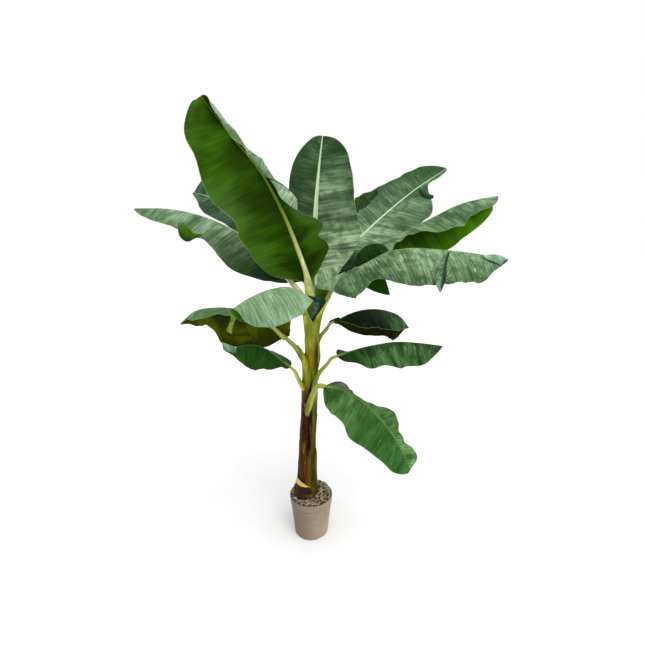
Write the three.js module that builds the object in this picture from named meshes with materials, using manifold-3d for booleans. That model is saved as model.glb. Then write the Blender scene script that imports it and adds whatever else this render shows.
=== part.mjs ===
import * as THREE from "three";
import Module from "manifold-3d";

const wasm = await Module();
wasm.setup();

// A potted banana plant in millimetres. +Z is up and the origin is the middle of the pot's underside.
// -Y is the front of the plant and +X is its right-hand side.

// Clearance between neighbouring pieces
const GAP = 0.3;

// Nursery pot: a tapered plastic tub with a thin lip and a shallow collar under it
const POT = {
  height: 288,
  rimRadius: 148,
  lipHeight: 11,
  collarRadius: 144,
  collarHeight: 52,
  bodyRadiusAtCollar: 140.5,
  footRadius: 116,
  footRounding: 7,
  innerRimRadius: 140,
  innerFootRadius: 110,
  floor: 12,
  facets: 40,
};
// Drain slots at the foot of the wall, the first one at the front right
const DRAIN_SLOTS = { count: 4, firstDeg: -55, wide: 34, high: 9, deep: 4 };

// Compost heaped a little over the rim, flat where the stem stands on it
const SOIL = {
  wallTop: 276,
  plateau: 297,
  plateauRadius: 96,
  shoulder: 66,
  shoulderFall: 0.35,
  wallSlopeFrom: 126,
  wallSlope: 12,
  backHump: 16,
  backHumpDeg: 55,
  facets: 36,
  rings: 6,
};

// Stem of rolled leaf sheaths: the axis leans to the right, and the radii run from the foot to the throat
const STEM = {
  axis: [[-36, 0, 297], [-26, 0, 580], [-15, 0, 840], [-2, 0, 1090], [6, 0, 1330], [15, 2, 1560]],
  radii: [
    [297, 78], [330, 73], [390, 66], [470, 60], [620, 57], [840, 54], [1090, 48], [1330, 41], [1560, 31],
  ],
  sheathCount: 5,
  sheathStep: 3.5,
  sheathTwistPerMetre: 0.9,
  footCrowding: 0.45,
  facets: 28,
  rings: 14,
};

// Old sheath remains round the foot of the stem: arcs in degrees, heights over the soil
const SHEATH_REMAINS = {
  cut_sheath_stub: { fromDeg: 188, toDeg: 292, low: 62, high: 112, peak: 0.3, thick: 13 },
  dry_sheath_edge: { fromDeg: -62, toDeg: 24, low: 40, high: 205, peak: 0.35, thick: 8 },
};

// How much thinner a remnant is at its sides and top than in the middle of its foot
const SHEATH_THINNING = 0.5;
const SHEATH_GRID = { columns: 9, rows: 5 };

// Leaf stalks: how flat the section is, how far they run straight before the blade, and how fast they thin
const STALK = { flatness: 0.85, sides: 8, rings: 8, lead: 45, taper: 0.8 };

// Blades: the side veins sweep forward a little, and at the base a lobe may reach back along the stalk.
// The midrib is as thick as the stalk at the base and thins to the tip.
const BLADE = {
  rows: 22,
  columns: 3,
  sweep: 0.12,
  lobeReach: 0.3,
  baseCap: 0.07,
  tipCap: 0.16,
  startShare: 0.9,
  tipHalfWidth: 5,
  flatBelowWidth: 75,
  ribShare: 0.7,
  ribTipDepth: 3,
  thicknessShare: 0.0112,
  capRow: 0.2,
  closestRows: 0.008,
};

// Each leaf: its stalk and midrib in space, the stalk's radius at the stem and at the blade, the way the
// upper side faces, and for the halves to the right and the left of the midrib the width and the droop in
// degrees from base to tip, the curl across the half, how far its base lobe reaches back, and its tears.
const LEAVES = {
  tall_left: {
    stalk: [[0, -20, 1490], [22, -25, 1615]],
    thick: [26, 17],
    rib: [
      [10, -20, 1720], [-60, -100, 1940], [-140, -200, 2150], [-230, -290, 2320],
      [-350, -360, 2460], [-460, -420, 2600],
    ],
    faces: [-0.35, 1, 0.35],
    right: {
      width: [130, 185, 230, 260, 285, 295, 280, 290, 315, 290, 260, 265, 220],
      drop: [0, 25, 30, 60],
      curl: 20,
    },
    left: {
      width: [60, 100, 180, 165, 150, 90, 85, 35, 30, 25, 25, 25, 25],
      drop: [5, 20, 20, 10],
      curl: 60,
    },
  },
  centre: {
    stalk: [[15, 12, 1515], [22, 20, 1630]],
    thick: [21, 14],
    rib: [[20, 22, 1740], [30, 40, 1940], [40, 60, 2200], [60, 80, 2430], [80, 90, 2590]],
    faces: [0, -1, 0.15],
    right: {
      width: [140, 165, 220, 260, 275, 260, 240, 225, 215, 200, 175, 160, 150],
      drop: [5, 0, 0, -10],
      curl: 10,
    },
    left: {
      width: [160, 165, 175, 180, 180, 180, 175, 175, 175, 170, 150, 125, 110],
      drop: [10, 10, 10, 15],
      curl: 10,
    },
  },
  back_right: {
    stalk: [[25, 28, 1545], [55, 55, 1685]],
    thick: [21, 13],
    rib: [
      [110, 80, 1810], [220, 170, 1940], [330, 250, 2030], [490, 360, 2170],
      [730, 470, 2360], [960, 540, 2510],
    ],
    faces: [-0.25, -0.75, 0.8],
    right: {
      width: [90, 125, 160, 190, 215, 240, 250, 255, 235, 150, 35, 35, 40],
      drop: [0, 0, 5, 15],
      curl: 15,
    },
    left: {
      width: [150, 175, 205, 230, 240, 245, 265, 240, 215, 185, 165, 140, 100],
      drop: [0, -10, -5, -10],
      curl: 20,
    },
  },
  rising_right: {
    stalk: [[30, 5, 1505], [95, -5, 1675], [180, 0, 1775]],
    thick: [21, 13],
    rib: [
      [260, 0, 1840], [350, 15, 1920], [470, 30, 2000], [730, 60, 2130],
      [900, 80, 2210], [1130, 100, 2260],
    ],
    faces: [0, 0, 1],
    right: {
      width: [60, 130, 190, 135, 100, 85, 145, 145, 160, 125, 110, 115, 100],
      drop: [10, 15, 45, 30],
      curl: 20,
    },
    left: {
      width: [150, 170, 190, 205, 215, 225, 230, 225, 215, 195, 175, 150, 140],
      drop: [80, 85, 85, 80],
      curl: 10,
      lobe: 0.7,
    },
  },
  arching_right: {
    stalk: [[16, -14, 1445], [80, -58, 1600]],
    thick: [22, 14],
    rib: [
      [140, -75, 1720], [190, -95, 1800], [300, -130, 1860], [450, -165, 1935],
      [760, -210, 1940], [1070, -240, 1890],
    ],
    faces: [0, 0, 1],
    right: {
      width: [305, 310, 240, 175, 260, 300, 310, 305, 280, 245, 210, 115, 75],
      drop: [35, 40, 35, 50],
      curl: 20,
    },
    left: {
      width: [60, 80, 115, 230, 190, 165, 165, 170, 165, 150, 135, 120, 110],
      drop: [75, 80, 60, 50],
      curl: 15,
      tears: [{ at: 0.3, wide: 0.045, deep: 0.6 }],
    },
  },
  arching_left: {
    stalk: [[-10, -10, 1530], [-45, -20, 1675]],
    thick: [22, 14],
    rib: [[-130, -20, 1780], [-320, -30, 1980], [-520, -30, 2100], [-770, -10, 2170], [-1020, 20, 2180]],
    faces: [0, 0, 1],
    right: {
      width: [110, 170, 180, 150, 90],
      drop: [40, 55, 50, 40],
      curl: 20,
    },
    left: {
      width: [110, 170, 230, 250, 230, 195, 140, 140, 130, 130, 115, 90, 80],
      drop: [50, 45, 45, 40],
      curl: 20,
    },
  },
  back_left: {
    stalk: [[-5, 28, 1530], [-15, 58, 1640]],
    thick: [19, 12],
    rib: [
      [-40, 90, 1750], [-150, 200, 1870], [-330, 320, 2040], [-550, 430, 2230],
      [-740, 500, 2320], [-850, 540, 2350],
    ],
    faces: [0.1, -0.3, 1],
    right: {
      width: [130, 190, 200, 205, 270],
      drop: [0, 0, -30, -40],
      curl: 20,
    },
    left: {
      width: [185, 200, 245, 240, 210, 170, 130, 145, 165, 170, 140, 85, 60],
      drop: [10, 20, 20, 30],
      curl: 20,
    },
  },
  front_left: {
    stalk: [[30, -30, 1300], [30, -58, 1390], [8, -74, 1490], [-30, -82, 1595]],
    thick: [28, 14],
    rib: [[-40, -90, 1670], [-100, -200, 1740], [-200, -340, 1740], [-280, -450, 1710], [-340, -540, 1670]],
    faces: [0, 0, 1],
    right: {
      width: [100, 150, 180, 190, 185, 170, 150, 120, 90],
      drop: [100, 90, 85, 75, 70],
      curl: 20,
      lobe: 0.5,
    },
    left: {
      width: [140, 130, 165, 190, 205, 215, 210, 210, 200, 185, 155, 130, 110],
      drop: [20, 35, 50, 70],
      curl: 30,
    },
  },
  hanging_left: {
    stalk: [[-18, -26, 1225], [-52, -58, 1300], [-85, -72, 1360]],
    thick: [28, 14],
    rib: [
      [-160, -90, 1440], [-290, -70, 1540], [-420, -50, 1590], [-580, -20, 1600],
      [-720, 10, 1570], [-820, 40, 1480],
    ],
    faces: [0, 0, 1],
    right: {
      width: [60, 125, 170, 205, 230, 230, 230, 210, 155, 110, 105, 90, 60],
      drop: [-60, 15, 85, 85, 85, 85, 84, 83, 80, 76, 72, 66, 60],
      curl: 10,
      lobe: 1.3,
    },
    left: {
      width: [90, 110, 135, 150, 150, 140, 115, 145, 150, 125, 85, 60, 40],
      drop: [15, 5, 20, 25],
      curl: 20,
    },
  },
  low_left: {
    stalk: [[-26, -28, 1050], [-52, -60, 1110], [-77, -82, 1170]],
    thick: [20, 11],
    rib: [
      [-120, -120, 1250], [-170, -160, 1310], [-240, -220, 1390],
      [-310, -280, 1430], [-430, -380, 1420],
    ],
    faces: [0, 0, 1],
    right: {
      width: [70, 90, 90, 95, 90, 85, 80, 70, 60],
      drop: [-40, 0, 30, 40],
      curl: 30,
      lobe: 1.2,
    },
    left: {
      width: [30, 50, 60, 100, 125, 130, 140, 150, 145, 140, 125, 85, 60],
      drop: [60, 60, 60, 40],
      curl: 30,
    },
  },
  back_low_right: {
    stalk: [[34, 8, 1290], [62, 8, 1405], [112, 12, 1470]],
    thick: [20, 11],
    rib: [
      [160, 20, 1510], [250, 60, 1550], [390, 120, 1570], [510, 170, 1550],
      [600, 200, 1510], [670, 220, 1430],
    ],
    faces: [0, 0, 1],
    right: {
      width: [40, 65, 120, 145, 145, 155, 165, 160, 155, 145, 125, 90, 80],
      drop: [45, 45, 45, 45],
      curl: 20,
    },
    left: {
      width: [60, 80, 140, 170, 185, 185, 185, 180, 170, 170, 170, 180, 270],
      drop: [20, 75, 85, 90, 95, 100],
      curl: 15,
      lobe: 0.8,
    },
  },
  low_right: {
    stalk: [[18, -24, 1060], [55, -50, 1185], [112, -75, 1262]],
    thick: [22, 12],
    rib: [
      [170, -90, 1310], [300, -120, 1370], [400, -150, 1400], [500, -170, 1420],
      [640, -200, 1420], [760, -230, 1410],
    ],
    faces: [0, 0, 1],
    right: {
      width: [55, 70, 95, 135, 145, 135, 150, 165, 150, 145, 130, 90, 65],
      drop: [55, 60, 55, 50],
      curl: 25,
    },
    left: {
      width: [95, 105, 130, 150, 150, 150, 150, 150, 145, 140, 130, 110, 90],
      drop: [-25, 40, 40, 40, 40, 40, 40],
      curl: 25,
      lobe: 0.5,
    },
  },
  lowest_right: {
    stalk: [[-22, -36, 880], [-8, -68, 970], [18, -86, 1060]],
    thick: [24, 14],
    rib: [
      [90, -110, 1120], [200, -160, 1120], [290, -220, 1090], [380, -270, 1020],
      [470, -320, 920], [580, -370, 710],
    ],
    faces: [0.2, -0.1, 1],
    right: {
      width: [110, 180, 200, 195, 200, 235, 230, 210, 195, 175, 160, 130, 95],
      drop: [15, 25, 20, 10],
      curl: 20,
    },
    left: {
      width: [120, 130, 90, 25, 25, 110, 155, 140, 80, 60, 70, 110, 120],
      drop: [0, 20, -20, -30],
      curl: 20,
    },
  },
};

const COLOURS = {
  pot: [0x9c8672, 0.6],
  soil: [0x6b5a48, 0.95],
  stem: [0x7d7a34, 0.65],
  cut_sheath_stub: [0xc0a33c, 0.7],
  dry_sheath_edge: [0x8f8371, 0.85],
  stalk: [0x93a24a, 0.55],
  blade: [0x3f6b35, 0.5],
};

const vec = (p) => new THREE.Vector3(p[0], p[1], p[2]);
const { clamp, degToRad } = THREE.MathUtils;

// A point on a circle about a centre line at a height
const onCircle = (centre, radius, angle, z) => new THREE.Vector3(
  centre.x + radius * Math.cos(angle), centre.y + radius * Math.sin(angle), z);

// Smooth curve through points, by chord length: position and direction at u from 0 to 1
function smoothPath(points) {
  const p = points.map((q) => (q.isVector3 ? q.clone() : vec(q)));
  const last = p.length - 1;
  const knot = [0];
  for (let i = 1; i <= last; i++) knot.push(knot[i - 1] + p[i].distanceTo(p[i - 1]));
  const length = knot[last];
  const k = knot.map((d) => d / length);
  const chord = (i) => p[i + 1].clone().sub(p[i]).divideScalar(k[i + 1] - k[i]);
  const slope = p.map(() => new THREE.Vector3());
  for (let i = 1; i < last; i++) {
    const before = k[i] - k[i - 1];
    const after = k[i + 1] - k[i];
    slope[i] = chord(i - 1).multiplyScalar(after).addScaledVector(chord(i), before);
    slope[i].divideScalar(before + after);
  }
  slope[0] = chord(0).multiplyScalar(1.5).addScaledVector(slope[1], -0.5);
  slope[last] = chord(last - 1).multiplyScalar(1.5).addScaledVector(slope[last - 1], -0.5);
  const at = (u) => {
    let i = 0;
    while (i < last - 1 && u >= k[i + 1]) i++;
    const h = k[i + 1] - k[i];
    const s = (u - k[i]) / h;
    const position = new THREE.Vector3()
      .addScaledVector(p[i], 2 * s ** 3 - 3 * s * s + 1)
      .addScaledVector(slope[i], h * (s ** 3 - 2 * s * s + s))
      .addScaledVector(p[i + 1], -2 * s ** 3 + 3 * s * s)
      .addScaledVector(slope[i + 1], h * (s ** 3 - s * s));
    const direction = new THREE.Vector3()
      .addScaledVector(p[i], (6 * s * s - 6 * s) / h)
      .addScaledVector(slope[i], 3 * s * s - 4 * s + 1)
      .addScaledVector(p[i + 1], (6 * s - 6 * s * s) / h)
      .addScaledVector(slope[i + 1], 3 * s * s - 2 * s)
      .normalize();
    return { position, direction };
  };
  return { at, length };
}

// Eased value at t from a list at equal steps
function between(values, t) {
  const last = values.length - 1;
  const x = clamp(t, 0, 1) * last;
  const i = Math.min(Math.floor(x), last - 1);
  const s = x - i;
  const a = values[Math.max(i - 1, 0)];
  const b = values[i];
  const c = values[i + 1];
  const d = values[Math.min(i + 2, last)];
  const leave = (c - a) / 2;
  const arrive = (d - b) / 2;
  return (2 * s ** 3 - 3 * s * s + 1) * b + (s ** 3 - 2 * s * s + s) * leave
    + (-2 * s ** 3 + 3 * s * s) * c + (s ** 3 - s * s) * arrive;
}

// Value at x from pairs of place and value
function along(pairs, x) {
  let i = 0;
  while (i < pairs.length - 2 && x > pairs[i + 1][0]) i++;
  const [x0, v0] = pairs[i];
  const [x1, v1] = pairs[i + 1];
  return v0 + (v1 - v0) * clamp((x - x0) / (x1 - x0), 0, 1);
}

// Faces collected by vertex number
class Solid {
  constructor() {
    this.points = [];
    this.faces = [];
  }
  add(point) {
    this.points.push(point.x, point.y, point.z);
    return this.points.length / 3 - 1;
  }
  triangle(a, b, c) {
    this.faces.push(a, b, c);
  }
  quad(a, b, c, d) {
    this.faces.push(a, b, c, a, c, d);
  }
  // Quads between two closed rings of the same size, the first ring lower or inner
  band(ring, next) {
    ring.forEach((v, i) => {
      const j = (i + 1) % ring.length;
      this.quad(v, ring[j], next[j], next[i]);
    });
  }
  // Fan over a closed ring
  cap(ring, centre, reversed) {
    ring.forEach((v, i) => {
      const w = ring[(i + 1) % ring.length];
      if (reversed) this.triangle(centre, w, v);
      else this.triangle(centre, v, w);
    });
  }
  manifold() {
    const mesh = new wasm.Mesh({
      numProp: 3,
      vertProperties: new Float32Array(this.points),
      triVerts: new Uint32Array(this.faces),
    });
    return new wasm.Manifold(mesh);
  }
}

function geometryOf(manifold) {
  const mesh = manifold.getMesh();
  const geometry = new THREE.BufferGeometry();
  geometry.setAttribute("position", new THREE.BufferAttribute(new Float32Array(mesh.vertProperties), 3));
  geometry.setIndex(new THREE.BufferAttribute(new Uint32Array(mesh.triVerts), 1));
  geometry.computeVertexNormals();
  return geometry;
}

// The largest piece left by a cut
function mainPiece(manifold) {
  const pieces = manifold.decompose();
  pieces.sort((a, b) => b.volume() - a.volume());
  return pieces[0];
}

const group = new THREE.Group();

function addNode(name, manifold, look) {
  const [colour, roughness] = COLOURS[look];
  const material = new THREE.MeshStandardMaterial({ color: colour, roughness, metalness: 0 });
  const mesh = new THREE.Mesh(geometryOf(manifold), material);
  mesh.name = name;
  group.add(mesh);
}

const AXIS = { x: 0, y: 0 };

// A body of revolution about Z. The profile starts and ends on the axis, first the underside, last the top.
function turned(profile, facets) {
  const solid = new Solid();
  const rings = profile.slice(1, -1).map(([radius, z]) => {
    const ring = [];
    for (let i = 0; i < facets; i++) {
      const angle = (2 * Math.PI * i) / facets;
      ring.push(solid.add(onCircle(AXIS, radius, angle, z)));
    }
    return ring;
  });
  for (let i = 0; i < rings.length - 1; i++) solid.band(rings[i], rings[i + 1]);
  solid.cap(rings[0], solid.add(new THREE.Vector3(0, 0, profile[0][1])), true);
  solid.cap(rings.at(-1), solid.add(new THREE.Vector3(0, 0, profile.at(-1)[1])), false);
  return solid.manifold();
}

function pot() {
  const lipBottom = POT.height - POT.lipHeight;
  const collarBottom = POT.height - POT.collarHeight;
  const rounding = POT.footRounding;
  const profile = [
    [0, 0],
    [POT.footRadius - rounding, 0],
    [POT.footRadius - rounding * 0.3, rounding * 0.3],
    [POT.footRadius, rounding],
    [POT.bodyRadiusAtCollar, collarBottom],
    [POT.collarRadius, collarBottom + 3],
    [POT.collarRadius + 0.8, lipBottom],
    [POT.rimRadius, lipBottom + 1.5],
    [POT.rimRadius, POT.height - 2.5],
    [POT.rimRadius - 2.5, POT.height],
    [POT.innerRimRadius, POT.height],
    [POT.innerFootRadius, POT.floor],
    [0, POT.floor],
  ];
  let body = turned(profile, POT.facets);
  for (let i = 0; i < DRAIN_SLOTS.count; i++) {
    const slot = wasm.Manifold.cube([DRAIN_SLOTS.deep * 2, DRAIN_SLOTS.wide, DRAIN_SLOTS.high * 2], true)
      .translate([POT.footRadius, 0, 0])
      .rotate([0, 0, DRAIN_SLOTS.firstDeg + (360 / DRAIN_SLOTS.count) * i]);
    body = body.subtract(slot);
  }
  return body;
}

// Height of the compost's surface: level under the stem, falling to the wall, with a hump at the back right
function soilHeight(x, y) {
  const radius = Math.hypot(x, y);
  const fromStem = Math.hypot(x - STEM.axis[0][0], y);
  const outside = clamp((fromStem - SOIL.plateauRadius) / SOIL.shoulder, 0, 1);
  const wall = clamp((radius - SOIL.wallSlopeFrom) / SOIL.wallSlope, 0, 1);
  const angle = Math.atan2(y, x) - degToRad(SOIL.backHumpDeg);
  const hump = SOIL.backHump * Math.max(0, Math.cos(angle)) ** 2 * outside * (1 - wall);
  const fall = (SOIL.plateau - SOIL.wallTop) * Math.max(wall, outside * SOIL.shoulderFall);
  return SOIL.plateau - fall + hump;
}

function soil() {
  const solid = new Solid();
  const ringAt = (radius, height) => {
    const ring = [];
    for (let i = 0; i < SOIL.facets; i++) {
      const angle = (2 * Math.PI * i) / SOIL.facets;
      const x = radius * Math.cos(angle);
      const y = radius * Math.sin(angle);
      ring.push(solid.add(new THREE.Vector3(x, y, height ?? soilHeight(x, y))));
    }
    return ring;
  };
  const inner = [[POT.floor, POT.innerFootRadius], [POT.height, POT.innerRimRadius]];
  const clearance = 2 * GAP;
  const bottom = POT.floor + GAP;
  const rings = [ringAt(along(inner, bottom) - clearance, bottom)];
  const wallRadius = along(inner, SOIL.wallTop) - clearance;
  for (let i = SOIL.rings; i >= 1; i--) {
    rings.push(ringAt((wallRadius * i) / SOIL.rings, i === SOIL.rings ? SOIL.wallTop : undefined));
  }
  for (let i = 0; i < rings.length - 1; i++) solid.band(rings[i], rings[i + 1]);
  solid.cap(rings[0], solid.add(new THREE.Vector3(0, 0, bottom)), true);
  solid.cap(rings.at(-1), solid.add(new THREE.Vector3(0, 0, SOIL.plateau)), false);
  return solid.manifold();
}

const stemPath = smoothPath(STEM.axis);

// Centre of the stem at a height
function stemCentre(z) {
  let low = 0;
  let high = 1;
  for (let i = 0; i < 30; i++) {
    const middle = (low + high) / 2;
    if (stemPath.at(middle).position.z < z) low = middle;
    else high = middle;
  }
  return stemPath.at(low).position;
}

// Radius of the stem, with a step where each rolled sheath overlaps the next one
function stemRadius(z, angle) {
  const turns = angle / (2 * Math.PI) + (z / 1000) * STEM.sheathTwistPerMetre;
  const place = (turns * STEM.sheathCount) % 1;
  return along(STEM.radii, z) + STEM.sheathStep * (place - 0.5);
}

// The stem, made wider all round by extra where room for a neighbour is cut
function stem(extra) {
  const solid = new Solid();
  const foot = STEM.axis[0][2] + GAP - extra;
  const top = STEM.axis.at(-1)[2] + extra;
  const rings = [];
  for (let row = 0; row <= STEM.rings; row++) {
    const t = row / STEM.rings;
    const z = foot + (top - foot) * t * (STEM.footCrowding + (1 - STEM.footCrowding) * t);
    const centre = stemCentre(clamp(z, foot + extra, top - extra));
    const ring = [];
    for (let i = 0; i < STEM.facets; i++) {
      const angle = (2 * Math.PI * i) / STEM.facets;
      ring.push(solid.add(onCircle(centre, stemRadius(z, angle) + extra, angle, z)));
    }
    rings.push(ring);
  }
  for (let i = 0; i < rings.length - 1; i++) solid.band(rings[i], rings[i + 1]);
  const end = (z) => {
    const centre = stemCentre(clamp(z, foot + extra, top - extra));
    return solid.add(onCircle(centre, 0, 0, z));
  };
  solid.cap(rings[0], end(foot), true);
  solid.cap(rings.at(-1), end(top), false);
  return solid.manifold();
}

// A remnant of an old sheath: a thin curved plate against the foot of the stem, highest at its peak
function sheathRemain({ fromDeg, toDeg, low, high, peak, thick }) {
  const solid = new Solid();
  const { columns, rows } = SHEATH_GRID;
  const bottom = STEM.axis[0][2] + GAP;
  const innerFace = [];
  const outerFace = [];
  for (let column = 0; column <= columns; column++) {
    const c = column / columns;
    const angle = degToRad(fromDeg + (toDeg - fromDeg) * c);
    const fromPeak = c < peak ? (peak - c) / peak : (c - peak) / (1 - peak);
    const height = low + (high - low) * (1 - fromPeak ** 1.5);
    const inner = [];
    const outer = [];
    for (let row = 0; row <= rows; row++) {
      const z = bottom + (height * row) / rows;
      const centre = stemCentre(z);
      const against = along(STEM.radii, z) + STEM.sheathStep / 2 + 2 * GAP;
      const thinned = 1 - SHEATH_THINNING * Math.max(Math.abs(2 * c - 1) ** 2, row / rows);
      inner.push(solid.add(onCircle(centre, against, angle, z)));
      outer.push(solid.add(onCircle(centre, against + thick * thinned, angle, z)));
    }
    innerFace.push(inner);
    outerFace.push(outer);
  }
  for (let c = 0; c < columns; c++) {
    for (let r = 0; r < rows; r++) {
      solid.quad(outerFace[c][r], outerFace[c + 1][r], outerFace[c + 1][r + 1], outerFace[c][r + 1]);
      solid.quad(innerFace[c][r], innerFace[c][r + 1], innerFace[c + 1][r + 1], innerFace[c + 1][r]);
    }
    solid.quad(innerFace[c][0], innerFace[c + 1][0], outerFace[c + 1][0], outerFace[c][0]);
    solid.quad(innerFace[c][rows], outerFace[c][rows], outerFace[c + 1][rows], innerFace[c + 1][rows]);
  }
  for (let r = 0; r < rows; r++) {
    const [nearStart, farStart] = [innerFace[0], outerFace[0]];
    solid.quad(nearStart[r], farStart[r], farStart[r + 1], nearStart[r + 1]);
    const [nearEnd, farEnd] = [innerFace[columns], outerFace[columns]];
    solid.quad(nearEnd[r], nearEnd[r + 1], farEnd[r + 1], farEnd[r]);
  }
  return solid.manifold();
}

// Across and up directions of a section whose upper side faces a given way
function sectionFrame(direction, faces) {
  const across = new THREE.Vector3().crossVectors(direction, faces).normalize();
  const up = new THREE.Vector3().crossVectors(across, direction);
  return { across, up };
}

// Half width of a blade: rounded at base and tip, with V-shaped tears
function halfWidth(leaf, half, t) {
  let width = between(half.width, t);
  const { baseCap, tipCap } = BLADE;
  if (t < baseCap) width *= Math.sqrt(1 - (1 - t / baseCap) ** 2);
  if (t > 1 - tipCap) width *= Math.sqrt(Math.max(0, 1 - ((t - 1 + tipCap) / tipCap) ** 2));
  for (const tear of half.tears ?? []) {
    const off = Math.abs(t - tear.at) / tear.wide;
    if (off < 1) width *= 1 - tear.deep * (1 - off);
  }
  return Math.max(width, t < 0.5 ? BLADE.startShare * leaf.thick[1] : BLADE.tipHalfWidth);
}

// Rows along the blade, with rows of their own at the tears
function bladeRows(leaf) {
  const rows = [];
  for (let i = 0; i <= BLADE.rows; i++) rows.push(i / BLADE.rows);
  rows.push(BLADE.baseCap * BLADE.capRow, 1 - BLADE.tipCap * BLADE.capRow);
  for (const half of [leaf.left, leaf.right]) {
    for (const tear of half.tears ?? []) rows.push(tear.at - tear.wide, tear.at, tear.at + tear.wide);
  }
  rows.sort((a, b) => a - b);
  return rows.filter((t, i) => i === 0 || t - rows[i - 1] > BLADE.closestRows);
}

// A blade as a thin closed shell either side of its midrib
function blade(leaf) {
  const path = smoothPath(leaf.rib);
  const faces = vec(leaf.faces);
  const thick = BLADE.thicknessShare * path.length;
  const solid = new Solid();
  const top = [];
  const bottom = [];
  for (const t of bladeRows(leaf)) {
    const { position, direction } = path.at(t);
    const { across, up } = sectionFrame(direction, faces);
    const baseRib = BLADE.ribShare * leaf.thick[1];
    const ribDepth = BLADE.ribTipDepth + (baseRib - BLADE.ribTipDepth) * (1 - t);
    const topRow = [];
    const bottomRow = [];
    for (const side of [-1, 1]) {
      const half = side < 0 ? leaf.left : leaf.right;
      const width = halfWidth(leaf, half, t);
      const sweep = BLADE.sweep - (half.lobe ?? 0) * Math.max(0, 1 - t / BLADE.lobeReach) ** 2;
      const flat = Math.min(1, width / BLADE.flatBelowWidth);
      const droop = degToRad(between(half.drop, t)) * flat;
      const curl = degToRad(half.curl) * flat;
      const place = position.clone();
      for (let column = 0; column <= BLADE.columns; column++) {
        if (column > 0) {
          const middle = droop + curl * ((column - 0.5) / BLADE.columns - 0.5);
          const step = width / BLADE.columns;
          place.addScaledVector(across, side * step * Math.cos(middle));
          place.addScaledVector(up, -step * Math.sin(middle));
          place.addScaledVector(direction, step * sweep);
        } else if (side > 0) {
          continue;
        }
        const here = column === 0 ? 0 : droop + curl * (column / BLADE.columns - 0.5);
        const normal = across.clone().multiplyScalar(side * Math.sin(here));
        normal.addScaledVector(up, Math.cos(here));
        const rib = column === 0 ? ribDepth : 0;
        const over = place.clone().addScaledVector(normal, thick / 2);
        const under = place.clone().addScaledVector(normal, -thick / 2 - rib);
        if (side < 0) {
          topRow.unshift(solid.add(over));
          bottomRow.unshift(solid.add(under));
        } else {
          topRow.push(solid.add(over));
          bottomRow.push(solid.add(under));
        }
      }
    }
    top.push(topRow);
    bottom.push(bottomRow);
  }
  const lastRow = top.length - 1;
  const lastColumn = top[0].length - 1;
  for (let r = 0; r < lastRow; r++) {
    for (let c = 0; c < lastColumn; c++) {
      solid.quad(top[r][c], top[r][c + 1], top[r + 1][c + 1], top[r + 1][c]);
      solid.quad(bottom[r][c], bottom[r + 1][c], bottom[r + 1][c + 1], bottom[r][c + 1]);
    }
    solid.quad(top[r][0], top[r + 1][0], bottom[r + 1][0], bottom[r][0]);
    solid.quad(bottom[r][lastColumn], bottom[r + 1][lastColumn], top[r + 1][lastColumn], top[r][lastColumn]);
  }
  for (let c = 0; c < lastColumn; c++) {
    solid.quad(top[0][c], bottom[0][c], bottom[0][c + 1], top[0][c + 1]);
    solid.quad(top[lastRow][c], top[lastRow][c + 1], bottom[lastRow][c + 1], bottom[lastRow][c]);
  }
  return solid.manifold();
}

// A leaf stalk: a tapering oval bar from inside the stem to the foot of its blade. Extra makes it bigger all
// round, and half as much longer at each end, where room for it is cut.
function stalk(leaf, extra) {
  const [rootRadius, bladeRadius] = leaf.thick;
  const start = smoothPath(leaf.rib).at(0);
  const end = start.position.clone().addScaledVector(start.direction, -GAP);
  const lead = end.clone().addScaledVector(start.direction, -STALK.lead);
  const path = smoothPath([...leaf.stalk, lead, end]);
  const outward = vec(leaf.rib.at(-1)).sub(vec(leaf.stalk[0])).setZ(0).normalize();
  const faces = new THREE.Vector3(0, 0, 1).sub(outward);
  const solid = new Solid();
  const rings = [];
  const centres = [];
  for (let row = 0; row <= STALK.rings; row++) {
    const t = row / STALK.rings;
    const { position, direction } = path.at(t);
    if (row === STALK.rings) direction.copy(start.direction);
    if (row === 0) position.addScaledVector(direction, -extra / 2);
    if (row === STALK.rings) position.addScaledVector(direction, extra / 2);
    const { across, up } = sectionFrame(direction, faces);
    const radius = rootRadius + (bladeRadius - rootRadius) * t ** STALK.taper + extra;
    const ring = [];
    for (let i = 0; i < STALK.sides; i++) {
      const angle = (-2 * Math.PI * i) / STALK.sides;
      const point = position.clone().addScaledVector(across, radius * Math.cos(angle));
      ring.push(solid.add(point.addScaledVector(up, radius * STALK.flatness * Math.sin(angle))));
    }
    rings.push(ring);
    centres.push(position);
  }
  for (let i = 0; i < rings.length - 1; i++) solid.band(rings[i], rings[i + 1]);
  solid.cap(rings[0], solid.add(centres[0]), true);
  solid.cap(rings.at(-1), solid.add(centres.at(-1)), false);
  return solid.manifold();
}

addNode("pot", pot(), "pot");
addNode("soil", soil(), "soil");
addNode("stem", stem(0), "stem");
for (const [name, sizes] of Object.entries(SHEATH_REMAINS)) addNode(name, sheathRemain(sizes), name);

// Every later stalk is cut back where the stem and the earlier stalks stand, with the clearance between them
const stalkRoom = [stem(GAP)];
for (const [name, leaf] of Object.entries(LEAVES)) {
  let body = stalk(leaf, 0);
  for (const room of stalkRoom) body = body.subtract(room);
  addNode(`${name}_stalk`, mainPiece(body), "stalk");
  stalkRoom.push(stalk(leaf, GAP));
}
// A blade whose base lobes reach back beside its stalk is cut clear of it
for (const [name, leaf] of Object.entries(LEAVES)) {
  const body = blade(leaf).subtract(stalk(leaf, GAP));
  addNode(`${name}_blade`, mainPiece(body), "blade");
}

export default group;
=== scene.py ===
import math
import random

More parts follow.
